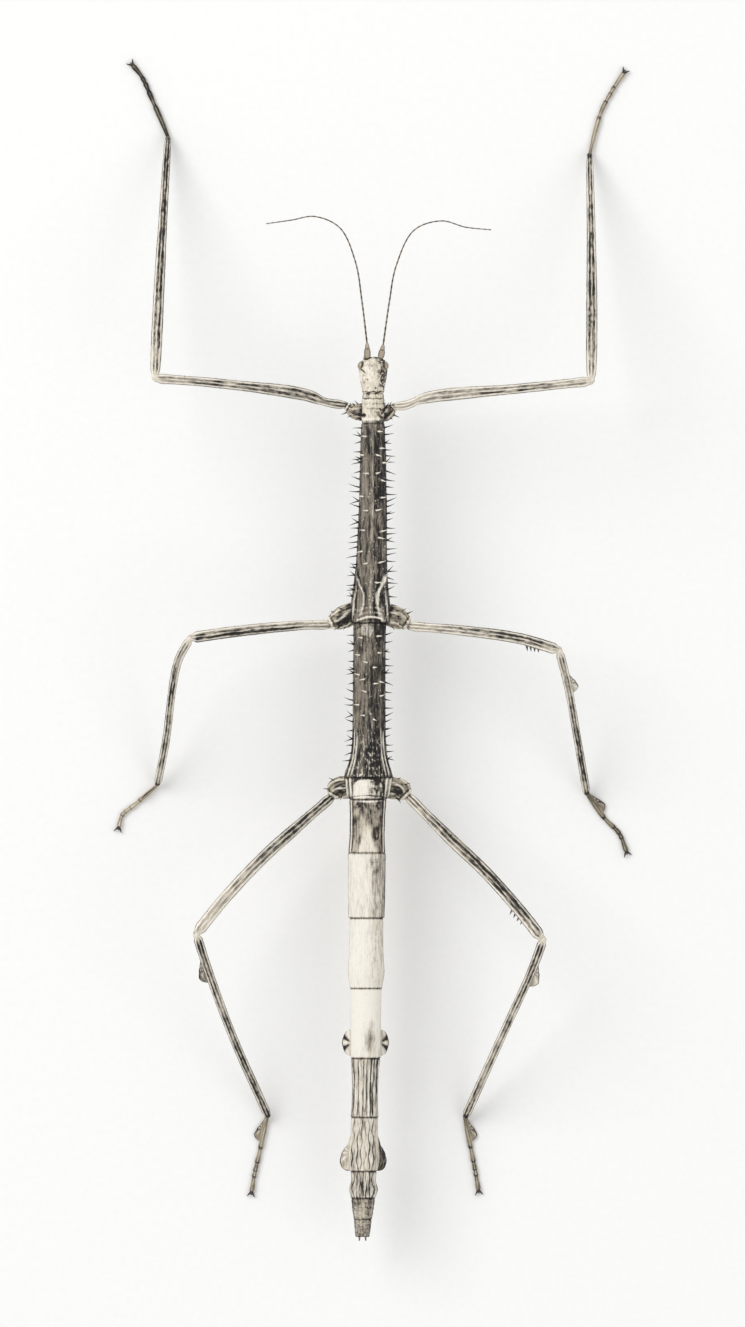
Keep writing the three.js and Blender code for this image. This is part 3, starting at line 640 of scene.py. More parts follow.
def eye_coat():
    """The eye: dull yellow and brown bands under a clear coat of small lenses."""
    coat, tree, shader = plain_coat("banded_eye")
    place = added(tree, "TexCoord", {})["Object"]
    band = cloud(tree, stretched(tree, reading(tree, "lie", "Vector"), BAND_STRETCH), 1.6, 2.0)
    shade = sums(tree, "ADD", ramped(tree, band, 0.47, 0.56, 0.0, 0.6), reading(tree, "dark"),
                 clamp=True)
    colour = blended(tree, shade, colour_of("b5a587"), colour_of("120d09"))
    fed(tree, shader, {"Base Color": colour, "Roughness": 0.22, "Coat Weight": 0.5,
                       "Coat Roughness": 0.12})
    lens = ramped(tree, to_cell(tree, place, LENSES_PER_METRE), 0.0, 0.6, 1.0, 0.0)
    bumped(tree, lens, shader, LENS_HEIGHT)
    return coat


COATS["eye"] = eye_coat()
print("lenses per mm:", round(LENSES_PER_METRE * MM, 1))

# %% [markdown]
# ## Spines, bumps and flaps
# Three small shapes come back all over the insect. A spine is a slim cone with a flared foot
# and a slight bend, an oval is a ball with three half sizes, and a flap is a leaf of skin.

# %% Small shapes
SUNK = 0.15  # share of a spine's length that is inside the shell
OVAL_COLUMNS = 28
LEAF_SQUARE, LEAF_SUNK = 2.6, 0.25  # a flap's section, and how far its root is inside
LEAF_ROWS, LEAF_COLUMNS = 64, 40
RIM_SHARES, RAY_START = (0.86, 0.97), (0.15, 0.5)


def spines(feet, aims, lengths, radius, curl=0.0, rows=9, columns=9, dark=0.0, pale=0.0):
    """Cones: at share t of its length a spine's middle is foot + aim*t*length + curl*t^2,
    and its radius is radius * (1 - t)^0.85 plus a flare of a quarter at the foot."""
    aims = unit(aims)
    lengths = np.broadcast_to(lengths, len(feet))[:, None, None, None]
    curl = np.broadcast_to(curl, feet.shape)[:, None, None]
    level = np.where(np.abs(aims[:, 1:2]) < 0.8, (0.0, 1.0, 0.0), (1.0, 0.0, 0.0))
    across = unit(np.cross(level, aims))
    upward = np.cross(aims, across)
    t = np.linspace(-SUNK, 1, rows)[None, :, None, None]
    out = bounded(t)
    thick = radius * ((1 - out) ** 0.85 + 0.25 * np.exp(-out / 0.12) + 0.04)
    turn = round_turns(columns)[None, :, :, None]
    points = (feet[:, None, None] + aims[:, None, None] * t * lengths + curl * out ** 2
              + thick * (across[:, None, None] * np.sin(turn)
                         + upward[:, None, None] * np.cos(turn)))
    tipward = np.broadcast_to(out[..., 0], points.shape[:-1])
    return patch(points, points, dark if np.isscalar(dark) else dark(tipward),
                 pale if np.isscalar(pale) else pale(tipward))


def oval(middle, halves, toward=(0, -1, 0), rows=20, columns=OVAL_COLUMNS, square=ROUND,
         lift=0.0, dark=0.0, pale=0.0):
    """A ball stretched to three half sizes: across, upward and along the way it points. Its
    rows are rings whose radius is the cosine of their latitude."""
    forward = unit(np.array(toward, float))
    side = unit(np.cross(UP, forward))
    latitude = np.linspace(-math.pi / 2, math.pi / 2, rows + 2)[1:-1][:, None]
    wide, high, long = halves
    centre = np.asarray(middle, float) + forward * (long * np.sin(latitude))
    way = Course(centre, forward[None], side[None], np.cross(forward, side)[None],
                 long * np.sin(latitude)[:, 0])
    ring = np.cos(latitude)
    outline = section(wide * ring, high * ring, high * ring, round_turns(columns), square)
    points, lie = carried(way, outline, lift)
    return patch(points, lie, dark, pale)


def flap(roots, out, reach, thick, outline, rays, ink, dark, curve):
    """A leaf standing out from a line of root points. Its section is a flat oval that starts
    just inside the root, and `outline` gives how far it stands out along the root, as
    (share of the root, share of `reach`). Pale rays run out from the middle of the root like
    a fan's ribs, with this much ink between them, its rim is dark and droops by `curve`."""
    t = np.linspace(0.01, 0.99, LEAF_ROWS)
    way = course(roots, t)
    width = reach * eased(outline, t) + 0.05
    out = unit(np.asarray(out, float))
    side = unit(out - way.forward * (way.forward @ out)[:, None])
    up = np.cross(way.forward, side)
    half = (width / 2 + LEAF_SUNK)[:, None]
    middle = way.middle + side * (half - 2 * LEAF_SUNK)
    leaf = section(half, thick / 2, thick / 2, round_turns(LEAF_COLUMNS), LEAF_SQUARE)
    far = leaf.across + half - 2 * LEAF_SUNK
    ray = np.arctan2(far, (way.along - way.along.mean())[:, None]) - math.pi / 2
    rib = np.cos(ray * rays)
    droop = curve * (np.clip(far, 0, None) / reach) ** 2
    bent = leaf._replace(upward=leaf.upward - droop)
    points, lie = carried(way._replace(middle=middle, side=side, up=up), bent, 0.03 * rib)
    rim = rise(np.maximum(far / width[:, None], 2 * np.abs(t[:, None] - 0.5)), *RIM_SHARES)
    outer = rise(far, *RAY_START)
    return patch(points, lie, dark + rim * outer + ink * bounded(-rib) * outer,
                 0.75 * bounded(rib) * (1 - rim) * (1 - dark))


HALF_ROUND = [(0, 0), (0.1, 0.55), (0.28, 0.9), (0.5, 1), (0.72, 0.9), (0.9, 0.55), (1, 0)]
SKIRT = [(0, 0), (0.28, 0.34), (0.47, 0.78), (0.7, 1), (0.88, 0.88), (0.96, 0.6), (1, 0.2)]
LEAF = [(0, 0), (0.3, 0.34), (0.6, 0.86), (0.76, 1), (0.9, 0.72), (1, 0)]
print("small shapes: spines, ovals and flaps")

# %% [markdown]
# ## Plates of the trunk
# Each ring of the trunk is one plate. Its front tucks under the plate before it, and its
# hind edge is a lip turned in over the plate behind, so that the seam is a fine dark line.
# Half widths and half heights are given at even distances. What makes a plate its own is its
# relief: a function gets a `Spot`, the place of every point of the grid, and gives back how
# far the shell is lifted there and where its pigments are.

# %% Plates
Spot = namedtuple("Spot", "s t turn x fraction top girth")
TRUNK_SQUARE = 2.25
COLLAR = [(-0.34, 0.87), (-0.16, 0.91), (-0.02, 0.96), (0.07, 0.99)]  # (from front, scale)
LIP = [(-0.1, 1.0), (-0.03, 0.99), (0.0, 0.965), (-0.1, 0.92), (-0.24, 0.86)]
EDGE_ROOM = 0.2  # between the last station of an edge and the next one
SEAM_SHADE = 0.5
WRINKLE_LENGTH, GRAIN_PITCH = 5.5, 0.55


def reach_of(node):
    """Where a plate starts and ends behind the front of the head, from its box."""
    low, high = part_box(node)
    return HEAD_FRONT - high.y / MM, HEAD_FRONT - low.y / MM


def spot_on(s, t, turn, across, half_wide, girth):
    """A grid's spot; its `top` is 1 on the upper side and 0 below the side edges."""
    return Spot(s[:, None], t[:, None], turn, across, across / half_wide,
                rise(np.cos(turn), -0.1, 0.25), girth)


def bark(spot, width, length, seed):
    """Lengthwise wrinkles, from -1 to 1: a cloud drawn out along the body. It is read on the
    section itself, so it has no seam."""
    across, upward = np.sin(spot.turn) / width, np.cos(spot.turn) / width
    around = together(spot.girth * across, spot.girth * upward, spot.s / length)
    return 2 * mottle(around, 1.0, seed) - 1


def flat_places(spot):
    """The shell unrolled: millimetres round it and along it."""
    return together(spot.girth * spot.turn, spot.s)


def edged(front, front_edge, inner, back, back_edge):
    """Stations with those of a front and a back edge added, and the scale of each one. An
    edge is a list of (how far from the plate's end, scale)."""
    before, after = np.array(front_edge), np.array(back_edge)
    return (np.concatenate([front + before[:, 0], inner, back + after[:, 0]]),
            np.concatenate([before[:, 1], np.ones(len(inner)), after[:, 1]]))


def plate(node, ring):
    """One ring of the trunk, with the stations of its collar and lip added to its rows."""
    front, back = reach_of(node)
    inner = np.linspace(front + EDGE_ROOM, back - EDGE_ROOM, ring.rows)
    s, scale = edged(front, COLLAR, inner, back, LIP)
    t = bounded((s - front) / (back - front))
    half_wide = (evenly(ring.wide, t) * scale)[:, None]
    half_high = (evenly(ring.high, t) * scale)[:, None]
    turn = round_turns(ring.columns)
    outline = section(half_wide, half_high, half_high, turn, TRUNK_SQUARE)
    spot = spot_on(s, t, turn, outline.across, half_wide, (half_wide + half_high) / 2)
    lift, dark, pale = ring.relief(spot)
    inside = np.minimum(rise(s, front - 0.05, front + 0.35), fall(s, back - 0.3, back - 0.02))
    seam = (1 - inside)[:, None]
    points, lie = carried(trunk_course(s), outline, lift * inside[:, None])
    return patch(points, lie, dark + SEAM_SHADE * seam, pale * (1 - seam))


def furrows(spot, fractions, width, start=0.0, end=1.0, wave=0.0):
    """Grooves along a plate at these fractions of its half width, from start to end of its
    length, wavering sideways by `wave`: 1 in the bottom of a groove, 0 outside it."""
    depth = np.zeros(np.broadcast_shapes(spot.s.shape, spot.x.shape))
    ends = rise(spot.t, start, start + 0.08) * fall(spot.t, end - 0.06, end + 0.01)
    for k, fraction in enumerate(fractions):
        sway = wave * np.sin(1.9 * spot.s + 2.4 * k)
        depth = np.maximum(depth, bell(spot.fraction, fraction + sway, width))
    return depth * ends * spot.top


def margins_and_shade(spot, start=0.91, end=0.97):
    """The outermost strip on each side, seen from above, where the shell turns down. It is
    darkened there partly for the margin's own dark line and partly as painted shade on the
    sides that turn away from the lamps.
    """
    return rise(np.abs(spot.fraction), start, end)


def stains(spot, size, seed, long=1.0):
    """Soft blots, from 0 to 1, laid on the plate as seen from above."""
    places = together(spot.x, spot.s / long, 0)
    return mottle(places, size, seed, 3)


def shell_patches(spot, streak, grain, seed, wrinkle=0.35, share=0.6):
    """The relief that all plates have: wrinkles, and small grains between them."""
    lines = bark(spot, wrinkle, WRINKLE_LENGTH, seed)
    dots = grains(flat_places(spot), GRAIN_PITCH, seed, share)
    dots = dots * rise(np.cos(spot.turn), -0.9, -0.5)
    return lines, dots, streak * lines + grain * dots


print("a plate's collar and lip take", len(COLLAR) + len(LIP), "rows")

# %% [markdown]
# ### The neck plate and the two long rings of the thorax
# The neck plate is short and pale, crossed by shallow rings with small knobs, and has a dark
# pit beside the root of each fore leg.

# %% Relief of the neck plate
NECK_RINGS = [(6.72, 0.08), (7.12, -0.08), (7.5, 0.05), (8.0, -0.05), (8.4, 0.04)]
NECK_PITS = [(-1.6, 9.95, 0.36), (1.5, 9.6, 0.2), (1.2, 8.9, 0.16), (1.55, 10.4, 0.2)]
NECK_KNOBS = [(0.38 * k - 1.1, 7.5 + 0.1 * (k % 2), 0.14) for k in range(7)]


def marks(spot, places):
    """Round marks at (x, s, radius) on the upper side: 1 in the middle of each."""
    found = np.zeros(spot.x.shape)
    for x, s, radius in places:
        away = np.hypot(spot.x - x, spot.s - s)
        found = np.maximum(found, np.exp(-(away / radius) ** 4))
    return found * spot.top


def neck_relief(spot):
    """Shallow rings broken by wrinkles, one zigzag fold, four seams, pits, knobs and smudges.
    Painted shade darkens the right half and the margins and gathers the smudges on the right
    towards the rear, and the upper left gets painted light.
    """
    lines, dots, lift = shell_patches(spot, 0.02, 0.06, 11, share=0.6)
    rings = sum(size * bell(spot.s, at + 0.06 * np.cos(5.5 * spot.x), 0.12)
                for at, size in NECK_RINGS)
    zigzag = bell(spot.s, 8.75 + 0.28 * np.abs((spot.x + 3) % 1.2 - 0.6), 0.1)
    zigzag = zigzag * fall(np.abs(spot.x), 0.9, 1.3)
    seams = sum(bell(spot.x, at, 0.06) for at in (-0.95, -0.4, 0.1, 0.62)) * bell(
        spot.s, 7.9, 0.7)
    pits, knobs = marks(spot, NECK_PITS), marks(spot, NECK_KNOBS)
    # Painted shade on the right half, which also gathers the smudges there; painted light on the
    # upper left, away from it.
    right, top = rise(spot.x, -0.4, 1.5), spot.top
    smudges_and_shade = rise(stains(spot, 0.45, 12), 0.42, 0.66)
    where = right * rise(spot.s, 7.6, 9.2) + 0.6 * fall(spot.s, 6.5, 7.5) + 0.25
    lift = (lift + rings * (0.7 + 0.5 * lines) - 0.05 * zigzag - 0.12 * pits + 0.07 * knobs
            - 0.03 * smudges_and_shade * where)
    dark = (0.95 * pits + 0.55 * zigzag * top + 0.45 * seams * top + 9 * bounded(-rings)
            + 0.6 * smudges_and_shade * where * top + 0.12 * right + 0.6 * margins_and_shade(spot)
            + 0.7 * bell(spot.s, 10.95, 0.08))
    pale = 0.5 * knobs + 0.3 * dots + 0.5 * bell(spot.s, 10.6, 0.25) + 0.25 * top * (1 - right)
    return lift, dark, pale * (1 - pits) * (1 - 0.7 * smudges_and_shade * where)


print("shallow rings across the neck plate:", len(NECK_RINGS))

# %% [markdown]
# The mesothorax and the metathorax carry the legs and make up a third of the body. They are
# dark umber and wrinkled lengthwise, with a keel along the middle. Towards each pair of legs
# they widen, and crests run out along the widening.

# %% Relief of the two long rings
MESO_CREST = [(36.3, 2.8), (38.6, 2.0), (40.9, 1.15), (42.4, 1.2), (45.3, 2.3)]  # (s, |x|)
MESO_BANDS = [(42.7, 0.3), (43.5, 0.3), (44.3, 0.85)]  # (s, how pale)
MESO_LANES = (-0.88, -0.35, 0.15, 0.46, 0.84)  # shares of the half width


def umber_shell(spot, seed, lanes, lanes_end, lane_length, blots, right_shade_from, flank_turn):
    """What the two long rings share: wrinkles, blots, a keel, a rib along each flank, and long
    dark lanes, more of them on the right. `right` is painted shade over the right half of the
    upper side, and the lanes are darker under it."""
    lines, dots, lift = shell_patches(spot, 0.09, 0.05, seed, share=0.3)
    # Painted shade over the right half of the upper side.
    right = rise(spot.x, right_shade_from, 0.6) * spot.top
    lanes = furrows(spot, lanes, 0.08, 0.0, lanes_end, 0.02) * (0.4 + 0.6 * right) * rise(
        stains(spot, 1.2, seed + 8, lane_length), 0.25, 0.5)
    keel = bell(spot.x, 0, 0.12) * spot.top
    flank = bell(np.abs(spot.turn), flank_turn, 0.09)
    lift = lift - 0.07 * lanes + 0.07 * flank
    dark = (0.33 + 0.7 * (stains(spot, *blots) - 0.5) + 0.8 * lanes + 0.5 * bounded(-lines)
            - 0.4 * bounded(lines))
    pale = 0.35 * dots * (dots > 0.4) + 0.2 * bounded(lines)
    return right, keel, flank, lift, dark, pale


def meso_relief(spot):
    """Two crests run in from the flanks towards the middle, folds fan out beside them, and
    bands cross the hind end."""
    right, keel, flank, lift, dark, pale = umber_shell(
        spot, 21, MESO_LANES, 0.88, 3.5, (0.8, 27, 4.0), -0.1, 1.5)
    keel = keel * rise(spot.s, 11.5, 14)
    beside, top = np.abs(spot.x), spot.top
    to_crest = (beside - eased(MESO_CREST, spot.s)) / (1 + 0.6 * right)
    there = rise(spot.s, 36.3, 38) * (1 - 0.45 * rise(spot.s, 41.5, 43.5)) * top
    crest, inside = bell(to_crest, 0, 0.19) * there, bell(to_crest, -0.36, 0.16) * there
    hind = rise(spot.s, 38.5, 42)
    folds = furrows(spot, (-0.94, -0.76, 0.76, 0.94), 0.04, 0.74, 1.0)
    ridges = furrows(spot, (-0.85, 0.85), 0.06, 0.72, 1.0)
    arch = spot.s - 0.12 * spot.x ** 2 + 0.05 * spot.x
    across = rise(np.cos(spot.turn), 0.35, 0.6) * fall(beside, 1.7, 2.4)
    bands = sum(bell(arch, at, 0.17) for at, _ in MESO_BANDS) * across
    worn = sum(size * bell(arch, at, 0.17) for at, size in MESO_BANDS) * across
    gaps = sum(bell(arch, at - 0.33, 0.12) for at, _ in MESO_BANDS) * across
    lift = (lift + 0.1 * keel + 0.17 * crest - 0.12 * inside - 0.14 * folds + 0.08 * ridges
            + 0.08 * bands - 0.04 * gaps)
    # Painted shade: 0.3 * right darkens the right half, and the margin strip the sides.
    dark = (dark + 0.3 * right + 0.7 * inside + 0.6 * folds + 0.3 * gaps
            + 0.35 * margins_and_shade(spot) * (1 - hind) - 0.2 * hind * across
            + 0.8 * bell(arch, 44.75, 0.13) * top)
    pale = (pale + (0.55 + 0.3 * right) * crest + worn + 0.25 * keel + 0.6 * ridges * hind
            + 0.25 * flank)
    return lift, dark, pale


META_LANES = (-0.86, -0.3, 0.14, 0.45, 0.88)


def meta_relief(spot):
    """A smooth lobe in front, a hind end that is nearly black with pale flecks, and ribs that
    flare out to the hind legs."""
    right, keel, flank, lift, dark, pale = umber_shell(
        spot, 31, META_LANES, 0.9, 3.0, (0.75, 38, 3.5), -0.2, 1.45)
    top = spot.top
    hind = rise(spot.s, 60, 69.5)
    ribs = furrows(spot, (-0.94, -0.8, -0.66, 0.66, 0.8, 0.94), 0.035, 0.66, 1.01)
    crests = furrows(spot, (-0.87, -0.73, 0.73, 0.87), 0.05, 0.64, 1.01)
    middle = fall(np.abs(spot.fraction), 0.56, 0.66)
    lobe = fall(np.hypot((spot.x + 0.75) / 1.3, (spot.s - 46.5) / 1.1), 0.7, 1.1) * top
    hook = bell(spot.x, 0.55 - 0.55 * (spot.s - 46.6), 0.14) * bell(spot.s, 47.3, 0.8) * top
    hollow = bell(spot.x, 1.5, 0.55) * bell(spot.s, 47.4, 1.1) * top
    flecks = grains(flat_places(spot) / (0.5, 1.9), 0.62, 37, 0.8) * middle * rise(
        spot.s, 62, 68)
    flecks = np.maximum(flecks, grains(flat_places(spot), 0.55, 36) * bell(
        spot.s, 71.25, 0.28) * middle)
    lift = (lift + 0.09 * keel - 0.14 * ribs + 0.08 * crests + 0.09 * flecks + 0.1 * lobe
            + 0.08 * hook - 0.05 * hollow)
    # Painted shade: 0.28 * right darkens the right half, and the margin strip the sides.
    dark = (dark + 0.28 * right + 0.3 * margins_and_shade(spot) + 0.42 * hind * middle + 0.7 * ribs
            + 0.6 * hollow - 0.3 * lobe
            + 0.6 * bell(spot.s - 0.1 * spot.x ** 2, 45.75, 0.12) * top)
    pale = (pale + 0.6 * flecks + 0.65 * crests * rise(spot.s, 61, 66) + 0.5 * hook
            + 0.25 * keel + 0.25 * lobe + 0.2 * flank * (1 - hind))
    return lift, dark, pale


print("dark lanes:", len(MESO_LANES), "and", len(META_LANES))

# %% [markdown]
# The spines stand in a crowded row down each flank and in loose pairs on the back. Those on
# the flank are dark and thin, a few of them forked. Those on the back are thick at the foot
# and pale, so that they show against the umber shell.

# %% Spines of the thorax
# A ring of the trunk: half widths and half heights, rows, columns and relief.
Ring = namedtuple("Ring", "wide high rows columns relief")
THORAX = {
    "prothorax": Ring(
        [1.72, 1.9, 1.95, 1.98, 1.9], [1.5, 1.65, 1.7, 1.75, 1.7], 84, 128, neck_relief),
    "mesothorax": Ring(
        [1.9, 2.1, 2.2, 2.28, 2.36, 2.45, 2.55, 2.8, 3.25, 3.6],
        [1.75, 1.9, 2, 2.05, 2.1, 2.15, 2.2, 2.3, 2.4, 2.4], 380, 180, meso_relief),
    "metathorax": Ring(
        [2.75, 2.72, 2.74, 2.74, 2.76, 3, 4.2],
        [2.35, 2.4, 2.4, 2.4, 2.45, 2.5, 2.5], 300, 180, meta_relief),
}
# Rows of spines on the flanks: where they start, their pitch, how many, and their length.
FLANK_ROWS = {"mesothorax": (12.3, 1.2, 25, 1.65), "metathorax": (47.6, 1.32, 17, 1.35)}
# Spines on the back: how far behind the head's front, and how far from the middle.
MESO_BACK = [(12.7, 0.85), (15.6, 1.2), (16.7, 0.55), (18.1, 1.6), (19.9, 0.55), (21, 1.35),
             (24, 1.3), (26.2, 0.5), (29.8, 1.35), (30.8, 0.95), (35.1, 1.2), (38.5, 0.75),
             (13.6, -1.1), (16.8, -1.55), (19.9, -0.75), (23.8, -1.6), (26.2, -0.85),
             (33.1, -1.5), (35.2, -0.65), (29.6, -1.3)]
META_BACK = [(50.4, 1.4), (52.9, 0.65), (55.3, 1.7), (55.7, 0.8), (57.8, 1.85), (61.7, 0.65),
             (50.8, -1.65), (52.1, -0.3), (54.2, -1.6), (54.9, -0.75), (57.1, -0.45),
             (61.1, -0.7), (47.6, 1.3), (47.9, -1.2), (59.3, -1.7)]
BACK_SPINES = {"mesothorax": (MESO_BACK, 1.35), "metathorax": (META_BACK, 1.1)}  # and length


def halves_at(node, s):
    """A plate's half width and half height at these stations."""
    front, back = reach_of(node)
    share = (s - front) / (back - front)
    return evenly(THORAX[node].wide, share), evenly(THORAX[node].high, share)


def on_plate(node, s, turn):
    """A place on a plate's surface and the direction straight out of it."""
    wide, high = halves_at(node, s)
    outline = section(wide, high, high, turn, TRUNK_SQUARE)
    foot = axis(s) + together(outline.across, 0, outline.upward)
    return foot, together(outline.out_across, 0, outline.out_up)


def flank_spines(node, start, pitch, count, length):
    """A row down each flank at about 82 degrees from the top, with a fork every so often: a
    second spine from the same foot, leaning the other way."""
    k = np.arange(count)
    stacks = []
    for hand in (-1, 1):
        s = start + pitch * (k + 0.28 * uneven(k, 3 + hand))
        turn = hand * np.radians(82 + 12 * uneven(k, 5 + hand))
        foot, aim = on_plate(node, s, turn)
        lean = 0.32 * uneven(k, 9 + hand)
        aim = aim + together(0, lean, 0)
        long = length * (1 + 0.24 * uneven(k, 12 + hand))
        curl = together(0, 0.3 * uneven(k, 15 + hand), 0.12 * uneven(k, 18 + hand))
        forked = np.flatnonzero(scatter(k[:, None].astype(float), 21 + hand) > 0.78)
        foot = np.concatenate([foot, foot[forked]])
        twin = aim[forked] + (0, 0.65, 0.1)
        aim = np.concatenate([aim, twin])
        long = np.concatenate([long, 0.75 * long[forked]])
        curl = np.concatenate([curl, -curl[forked]])
        stacks.append(spines(foot, aim, long, 0.13, curl, dark=1.0))
    return stacks


def back_spines(node, places, length):
    """Pale spines on the back, aimed outward and a little up."""
    s, x = np.array(places).T
    wide, _ = halves_at(node, s)
    turn = np.arcsin(bounded(np.abs(x) / wide) ** (TRUNK_SQUARE / 2)) * np.sign(x)
    foot, aim = on_plate(node, s, turn)
    k = np.arange(len(s))
    aim = aim * (0.6, 1, 0.75) + together(0.75 * np.sign(x), 0.25 * uneven(k, 2), 0)
    long = length * (1 + 0.25 * uneven(k, 4))
    curl = together(0, 0.15 * uneven(k, 6), -0.1)
    return spines(foot, aim, long, 0.17, curl, 12, 12, dark=lambda t: 0.4 - 0.4 * t,
                  pale=lambda t: rise(t, -0.05, 0.3))


for node, ring in THORAX.items():
    patches, slot, coat = [plate(node, ring)], "pale_shell", "head"
    if node in FLANK_ROWS:
        patches += flank_spines(node, *FLANK_ROWS[node])
        patches.append(back_spines(node, *BACK_SPINES[node]))
        slot = coat = "thorax_shell"
    piece = make_piece(node, "plate", patches, slot, coat)
    print(piece.name, "faces:", len(piece.data.polygons))

# %% [markdown]
# ### The abdomen
# Ten rings, each a variation on the same plate: a pale dome between the roots of the hind
# legs, a mottled ring, three pale and nearly smooth ones, three with keels, and two grained.
# The fifth and seventh carry a pair of flaps, thin as a leaf, which break up the outline.

# %% Relief of the abdomen


def dome_relief(spot):
    """The first ring: a pale dome, arched in front, stands out of a dark hollow. Painted shade
    darkens the dome towards its right. Ribs run back beside it, and a fold crosses behind it."""
    lines, _, lift = shell_patches(spot, 0.03, 0.04, 41, share=0.5)
    beside, top = np.abs(spot.x), spot.top
    away = (beside / 2.7) ** 3 + (np.clip(73.7 - spot.s, 0, None) / 1.85) ** 3
    dome = fall(away, 0.5, 1.15)
    ring = bell(away, 1.1, 0.35)
    ribs = sum(bell(beside - 0.1 * (74 - spot.s), at, 0.13) for at in (2.98, 3.62)) * top
    fold = bell(spot.s - 0.04 * spot.x ** 2, 74.72, 0.1) * top
    lift = lift + (0.3 * dome - 0.1 + 0.14 * ribs) * top - 0.08 * fold
    speckle = stains(spot, 0.35, 49) - 0.5
    # Painted shade: the dome darkens towards its right, broken by speckle and wrinkles, and
    # loses its pale.
    shade = rise(spot.x + 1.2 * speckle, -1.3, 2.0) * (0.62 + 0.5 * lines + 0.9 * speckle)
    dark = (0.06 + 1.05 * shade * dome * top + 0.55 * fold + 0.5 * (1 - top)
            + ((1 - dome) * (0.62 - 0.45 * lines) + 0.4 * ring - 0.8 * ribs) * top)
    pale = (0.7 * dome * (1 - 1.3 * shade) + 0.75 * ribs) * top * (1 - 0.7 * fold)
    return lift, dark, pale


def mottled_relief(spot):
    """The second ring: blots, two dark patches in front, a pale wedge behind, and a double
    line down each side."""
    lines, _, lift = shell_patches(spot, 0.035, 0.05, 42, share=0.5)
    beside, top = np.abs(spot.x), spot.top
    line = bell(np.abs(spot.fraction), 0.9, 0.025) * top
    dark_line = bell(np.abs(spot.fraction), 0.83, 0.03) * top
    blots = stains(spot, 1.1, 7, 1.5) - 0.5
    curls = rise(stains(spot, 0.42, 8), 0.38, 0.56)
    front = bell(spot.s, 76.35, 0.6) * bell(spot.x, -1.3, 1.0) + bell(
        spot.s, 76.7, 0.7) * bell(spot.x, 1.5, 0.6)
    wedge = rise(0.15 + 0.28 * (spot.s - 79.2) - beside, -0.5, 0.5) * rise(spot.s, 78.8, 81)
    ring = bell(np.hypot((spot.x - 1.55) / 0.42, (spot.s - 81.2) / 0.95), 1.0, 0.35)
    band = bell(spot.s + 0.12 * beside, 75.75, 0.24) * top
    lift = lift + 0.08 * line - 0.08 * dark_line + 0.05 * wedge * top + 0.06 * band - 0.05 * ring
    # Painted shade: rise(spot.x, 0, 1.2) darkens the right half, and the margin strip the sides.
    dark = (0.4 + 1.15 * blots + 0.85 * front * curls + 0.4 * ring - 0.55 * wedge
            + 0.18 * rise(spot.x, 0, 1.2) + 0.14 * fall(spot.s, 77, 80)
            + 0.3 * bounded(-lines)) * top + dark_line + margins_and_shade(spot, 0.93) - line
    pale = 0.85 * band + 0.55 * wedge * top + 0.7 * line
    return lift, dark, pale


def pale_relief(spot):
    """The third to fifth rings: smooth, with fine strokes and dots that fade from ring to
    ring, and a hair-thin line along the middle of the third. Painted shade darkens their
    right halves and margins."""
    lines, _, lift = shell_patches(spot, 0.02, 0.03, 43, 0.4, 0.3)
    # `right` is painted shade: more ink and less pale on the right half, and a darker right
    # margin on the fifth ring.
    top, right = spot.top, rise(spot.x, 0.0, 1.6)
    ink = eased([(85, 1.0), (95, 1.0), (96, 0.6), (107, 0.5), (108, 0.12), (119, 0.35)], spot.s)
    line = bell(spot.x, 0.04, 0.05) * top * fall(spot.s, 90, 95)
    inner = bell(np.abs(spot.fraction), 0.88, 0.03) * top * ink
    scrawl = bell(stains(spot, 0.5, 44), 0.5, 0.05) * bell(spot.s, 86.6, 1.2) * bell(
        spot.x, 1.3, 0.9) * top
    blots = stains(spot, 0.55, 47, 1.3) - 0.5
    hatch = (bell(np.abs(spot.x) - 0.35 * (spot.s - 91), 0, 0.1) * rise(spot.s, 92, 93.5)
             * fall(spot.s, 95, 95.5))
    bright = rise(spot.s, 108.3, 109) * top
    middle = bell(spot.s, 116.5, 2.4) * bell(spot.x, 0.7, 0.8) * bright
    lift = lift - 0.03 * line - 0.05 * inner - 0.04 * scrawl + 0.04 * bell(spot.x, 0, 1.5) * top
    dark = (0.03 + 0.5 * line + 0.7 * scrawl + 0.3 * hatch + 0.45 * inner + 0.35 * middle
            + ink * (0.03 + right * (0.22 + 0.6 * bounded(blots))
                     + 0.24 * bounded(-lines)) * top
            + margins_and_shade(spot, 0.93) * np.maximum(0.8 * ink, 0.7 * right * bright)
            + 0.25 * (1 - top))
    return lift, dark, (0.95 - 0.3 * ink) * top * (1 - 0.6 * right * ink) * (1 - middle)


def keeled(places, wave, seed, tone, rim=0.55):
    """The relief of the sixth to eighth rings: pale keels between dark grooves at these
    fractions of the half width, with painted shade on the right and at the margins, the
    latter as strong as `rim`."""
    def relief(spot):
        """Sunk and dark in the grooves, where they aren't broken off, and pale between."""
        lines, _, lift = shell_patches(spot, 0.05, 0.03, seed, 0.26, 0.4)
        blots = stains(spot, 0.8, seed + 5, 3.0) - 0.5
        cut = furrows(spot, places, 0.04, 0.0, 1.0, wave)
        broken = cut * bounded(0.6 + 0.8 * bark(spot, 0.6, 1.8, seed + 3))
        # Painted shade: the band right of the middle and, as strong as `rim`, the margin strip.
        dark = (tone + broken + 0.5 * bounded(-lines) + 0.4 * blots
                + 0.3 * bell(spot.fraction, 0.55, 0.22) * spot.top
                + rim * margins_and_shade(spot, 0.88, 0.96) + 0.2 * (1 - spot.top))
        pale = (0.6 * bounded(lines) - 0.4 * bounded(blots) + 0.4) * spot.top * (1 - cut)
        return lift - 0.14 * broken, dark, pale

    return relief


